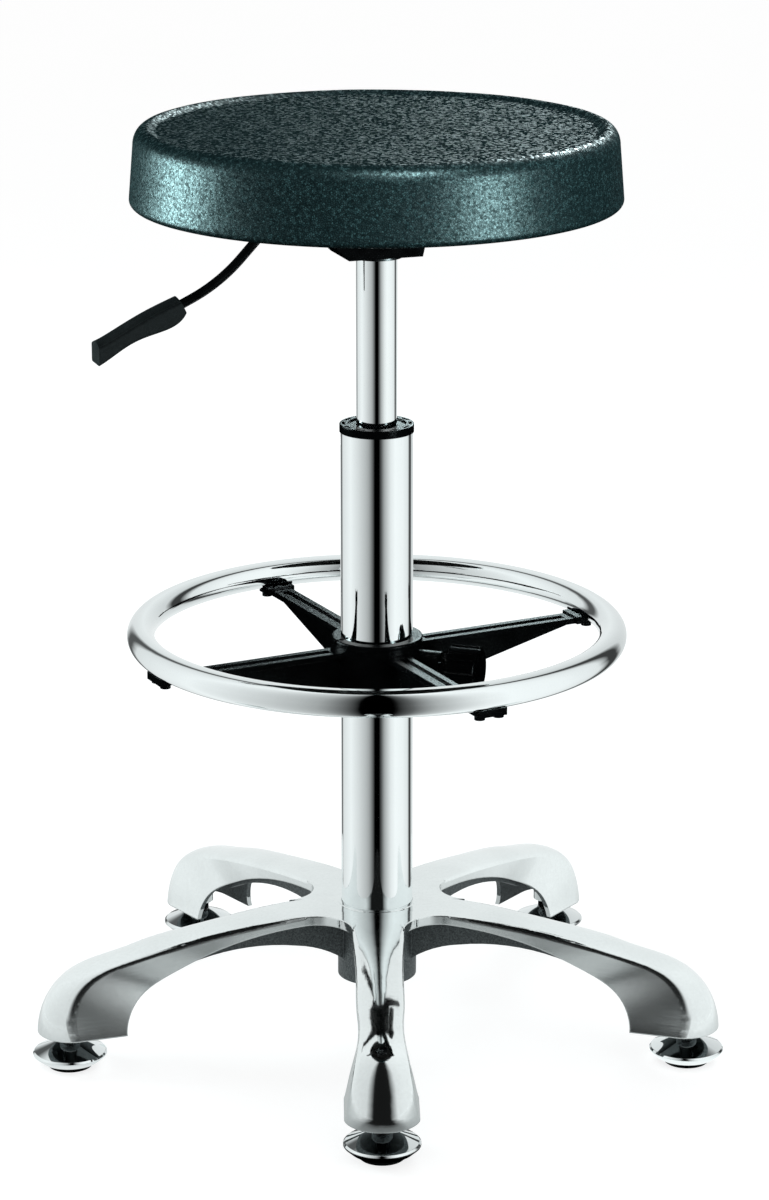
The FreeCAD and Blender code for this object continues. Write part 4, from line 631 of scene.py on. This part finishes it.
class STOOL_OT_seat(Operator):
    """Mould the dished seat with its grained skin"""
    bl_idname = "stool.seat"
    bl_label = "Seat"

    def execute(self, context):
        seat = context.scene.stool_seat
        waves_per_metre, centre = 26.0, 1e-4

        def uneven(place):
            if place.z < BOARD_HIGH.z + 2 * seat.board_gap or place.xy.length < centre:
                return Vector()
            return Vector((0, 0, seat.waviness * (noise.noise(place * waves_per_metre) - 0.5)))
        data = turned_mesh(seat_profile(seat), seat.segments, uneven)
        pad = mesh_piece("seat_pad", data, "seat", skin_finish(seat))
        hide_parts("seat_cushion")
        return {"FINISHED"}


class STOOL_OT_metal(Operator):
    """Finish the chrome, the cast base, the steel pieces and the painted sheet"""
    bl_idname = "stool.metal"
    bl_label = "Metal"

    def execute(self, context):
        metal = context.scene.stool_metal
        dress(CHROME_NODES, chrome_finish(metal))
        # The column doesn't mirror the foot ring.
        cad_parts["footring_tube"].visible_glossy = False
        dress(["star_base"], casting_finish(metal))
        dress(STEEL_NODES, steel_finish(metal))
        dress(ALLOY_NODES, alloy_finish(metal))
        dress(PAINT_NODES, paint_finish(metal))
        return {"FINISHED"}


class STOOL_OT_mouldings(Operator):
    """Finish the nylon, grip, soles, rubber stop and seat board"""
    bl_idname = "stool.mouldings"
    bl_label = "Mouldings"

    def execute(self, context):
        moulding = context.scene.stool_moulding
        dress(NYLON_NODES, nylon_finish(moulding))
        dress(["lever_grip"], grip_finish(moulding))
        dress(SOLE_NODES, sole_finish(moulding))
        dress(["bump_stop"], rubber_finish(moulding))
        dress(["seat_board"], board_finish(moulding))
        return {"FINISHED"}


def stage_piece(name, data, material):
    """Turn a finished bmesh into a piece of the studio."""
    mesh = bpy.data.meshes.new(name)
    data.to_mesh(mesh)
    data.free()
    mesh.materials.append(material)
    piece = bpy.data.objects.new(name, mesh)
    bpy.context.scene.collection.objects.link(piece)
    return piece


def shown_rays(graph):
    """1 for rays from the camera and through glass, which see the white room."""
    rays = graph.add("ShaderNodeLightPath").outputs
    return graph.math("MAXIMUM", rays["Is Camera Ray"], rays["Is Transmission Ray"])


def empty_material(name):
    """An empty material and its graph."""
    material = bpy.data.materials.new(name)
    material.use_nodes = True
    material.node_tree.nodes.clear()
    return material, Graph(material.node_tree)


def join_shaders(graph, first, second):
    """Add two shaders up and make them the material's surface."""
    both = graph.add("ShaderNodeAddShader", {0: first.outputs[0], 1: second.outputs[0]})
    graph.add("ShaderNodeOutputMaterial", {"Surface": both.outputs[0]})


def floor_material(studio):
    """White floor: a glow that the camera sees, plus a matt part that takes the shadow."""
    material, graph = empty_material("studio_floor")
    cloud = graph.add("ShaderNodeTexNoise", {"Vector": graph.place(), "Scale": 3.0}).outputs["Fac"]
    matt = graph.add("ShaderNodeBsdfDiffuse", {
        "Color": graph.blend(cloud, rgba(studio.floor), rgba(studio.floor, 0.97))})
    strength = graph.math("MULTIPLY", shown_rays(graph), studio.floor_glow)
    join_shaders(graph, matt, graph.add("ShaderNodeEmission", {"Color": (1, 1, 1, 1), "Strength": strength}))
    return material


def grey(level, red=0.97):
    """A grey with a little less red."""
    return (level * red, level, level, 1)


def round_tones(graph, studio, tones):
    """Grey levels round the stool, by the angle to the right of the camera."""
    turn = graph.add("ShaderNodeMapping", {"Vector": graph.place(), "Rotation": (0, 0, -studio.azimuth)})
    around = graph.add("ShaderNodeTexGradient", {"Vector": turn.outputs[0]}, gradient_type="RADIAL")
    ramp = graph.add("ShaderNodeValToRGB", {"Fac": around.outputs["Fac"]})
    points = ramp.color_ramp.elements
    for angle, level in tones[1:-1]:
        points.new((angle + 180) / 360).color = grey(level)
    points[0].color, points[-1].color = grey(tones[0][1]), grey(tones[-1][1])
    return ramp.outputs["Color"]


def reflector_material(studio, name, tones, centre_level):
    """Glowing see-through card whose level changes round the stool; a centre level fades in near the column."""
    fade_start, fade_end, centre_red = 0.6, 1.6, 0.95
    material, graph = empty_material(name)
    tone = round_tones(graph, studio, tones)
    if centre_level:
        reach = graph.add("ShaderNodeVectorMath", {0: graph.place()}, operation="LENGTH").outputs["Value"]
        near = graph.add("ShaderNodeMapRange", {
            "Value": reach, "From Min": studio.apron_radius * fade_start,
            "From Max": studio.apron_radius * fade_end, "To Min": 1.0, "To Max": 0.0})
        tone = graph.blend(near.outputs[0], tone, grey(centre_level, centre_red))
    glow = graph.add("ShaderNodeEmission", {"Color": tone, "Strength": 1.0})
    join_shaders(graph, glow, graph.add("ShaderNodeBsdfTransparent"))
    return material


def reflectors(studio, name, radius, card_height, tones, lit, centre_level=None):
    """A dome and a floor card, lifted a little, that show only in the gloss of a collection of pieces."""
    segments, rings, below_floor = 96, 64, -1e-4
    dome = bmesh.new()
    bmesh.ops.create_uvsphere(dome, u_segments=segments, v_segments=rings, radius=radius)
    bmesh.ops.delete(dome, geom=[v for v in dome.verts if v.co.z < below_floor], context="VERTS")
    card = bmesh.new()
    bmesh.ops.create_circle(card, cap_ends=True, segments=segments, radius=radius,
                            matrix=Matrix.Translation((0, 0, card_height)))
    for label, data, level in (("dome", dome, None), ("card", card, centre_level)):
        title = "%s_%s" % (name, label)
        piece = stage_piece(title, data, reflector_material(studio, title, tones, level))
        only_in_gloss(piece)
        piece.light_linking.receiver_collection = lit


def only_in_gloss(piece):
    """Let a studio card show in reflections only."""
    piece.visible_camera = False
    piece.visible_diffuse = False
    piece.visible_shadow = False
    piece.visible_transmission = False
    piece.visible_volume_scatter = False


def soft_lamp(name, azimuth, elevation, size, power, colour, lit):
    """A soft box that faces the stool and lights a collection of pieces."""
    lamp = bpy.data.lights.new(name, "AREA")
    lamp.shape = "RECTANGLE"
    lamp.size, lamp.size_y = size
    lamp.energy = power
    lamp.color = colour
    item = bpy.data.objects.new(name, lamp)
    bpy.context.scene.collection.objects.link(item)
    item.light_linking.receiver_collection = lit
    turn, rise = math.radians(azimuth), math.radians(elevation)
    out = Vector((math.cos(rise) * math.cos(turn), math.cos(rise) * math.sin(turn), math.sin(rise)))
    item.location = LAMP_TARGET + out * LAMP_REACH
    item.rotation_euler = (-out).to_track_quat("-Z", "Y").to_euler()


class STOOL_OT_stage(Operator):
    """Set the floor, the reflectors, the lamps and the camera"""
    bl_idname = "stool.stage"
    bl_label = "Stage"

    def execute(self, context):
        studio = context.scene.stool_studio
        floor = bmesh.new()
        bmesh.ops.create_grid(floor, x_segments=1, y_segments=1, size=studio.floor_size / 2)
        stage_piece("studio_floor", floor, floor_material(studio)).visible_glossy = False
        lit = self.sort_pieces(context.scene)
        reflectors(studio, "chrome", studio.far_dome, CHROME_CARD_HEIGHT, CHROME_TONES, lit["chrome"])
        reflectors(studio, "casting", studio.near_dome, CASTING_CARD_HEIGHT, CASTING_TONES, lit["casting"],
                   studio.apron_level)
        for name, azimuth, elevation, size, power, colour, group in LAMPS:
            soft_lamp(name, azimuth, elevation, size, power, getattr(studio, colour), lit[group])
        self.light_room(context.scene, studio)
        self.place_camera(context.scene, studio)
        context.scene.view_settings.view_transform = "Standard"
        return {"FINISHED"}

    def sort_pieces(self, scene):
        """Collections of the pieces that share reflectors or lamps; the floor goes with the trim."""
        lit = {name: bpy.data.collections.new(name + "_lit") for name in ("chrome", "casting", "seat", "trim")}
        groups = {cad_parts[name]: "chrome" for name in CHROME_NODES}
        groups[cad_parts["star_base"]] = "casting"
        groups[scene.objects["seat_pad"]] = "seat"
        for piece in [item for item in scene.objects if item.type == "MESH"]:
            lit[groups.get(piece, "trim")].objects.link(piece)
        return lit

    def light_room(self, scene, studio):
        """White for the camera, a soft level for the rest, and nothing for gloss, which has its reflectors."""
        world = bpy.data.worlds.new("studio_room")
        world.use_nodes = True
        graph = Graph(world.node_tree)
        graph.tree.nodes.clear()
        level = graph.span(shown_rays(graph), studio.ambient, 1.0)
        glossy = graph.add("ShaderNodeLightPath").outputs["Is Glossy Ray"]
        strength = graph.math("MULTIPLY", level, graph.math("SUBTRACT", 1.0, glossy))
        back = graph.add("ShaderNodeBackground", {"Color": (1, 1, 1, 1), "Strength": strength})
        graph.add("ShaderNodeOutputWorld", {"Surface": back.outputs[0]})
        scene.world = world

    def place_camera(self, scene, studio):
        """Stand the camera where the photo was taken from."""
        camera = bpy.data.cameras.new("camera")
        camera.lens = studio.lens
        camera.sensor_width = SENSOR_WIDTH
        item = bpy.data.objects.new("camera", camera)
        scene.collection.objects.link(item)
        out = Vector((math.cos(studio.azimuth), math.sin(studio.azimuth), 0))
        right = Vector((-out.y, out.x, 0))
        item.location = out * studio.distance + right * studio.aside + Vector((0, 0, studio.height))
        item.rotation_euler = (math.pi / 2 - studio.pitch, 0, studio.azimuth + math.pi / 2)
        scene.camera = item


class STOOL_PT_finish(Panel):
    """Buttons and settings of the stool"""
    bl_label = "Work Stool"
    bl_idname = "STOOL_PT_finish"
    bl_space_type = "VIEW_3D"
    bl_region_type = "UI"
    bl_category = "Stool"

    def draw(self, context):
        for operator in OPERATORS:
            self.layout.operator(operator.bl_idname)
        for group in SETTINGS:
            box = self.layout.box()
            box.label(text=group.__name__.replace("Settings", ""))
            owner = getattr(context.scene, SETTINGS[group])
            for name in group.__annotations__:
                box.prop(owner, name)


OPERATORS = [STOOL_OT_seat, STOOL_OT_metal, STOOL_OT_mouldings, STOOL_OT_stage]
SETTINGS = {
    SeatSettings: "stool_seat", MetalSettings: "stool_metal", MouldingSettings: "stool_moulding",
    StudioSettings: "stool_studio",
}


def register():
    """Add the settings, operators and panel to Blender."""
    for item in [*SETTINGS, *OPERATORS, STOOL_PT_finish]:
        bpy.utils.register_class(item)
    for group, name in SETTINGS.items():
        setattr(bpy.types.Scene, name, PointerProperty(type=group))


def unregister():
    """Take them out again."""
    for name in SETTINGS.values():
        delattr(bpy.types.Scene, name)
    for item in reversed([*SETTINGS, *OPERATORS, STOOL_PT_finish]):
        bpy.utils.unregister_class(item)


def main():
    """Finish the stool and stage it."""
    register()
    bpy.ops.stool.seat()
    bpy.ops.stool.metal()
    bpy.ops.stool.mouldings()
    bpy.ops.stool.stage()


if __name__ == "__main__":
    main()
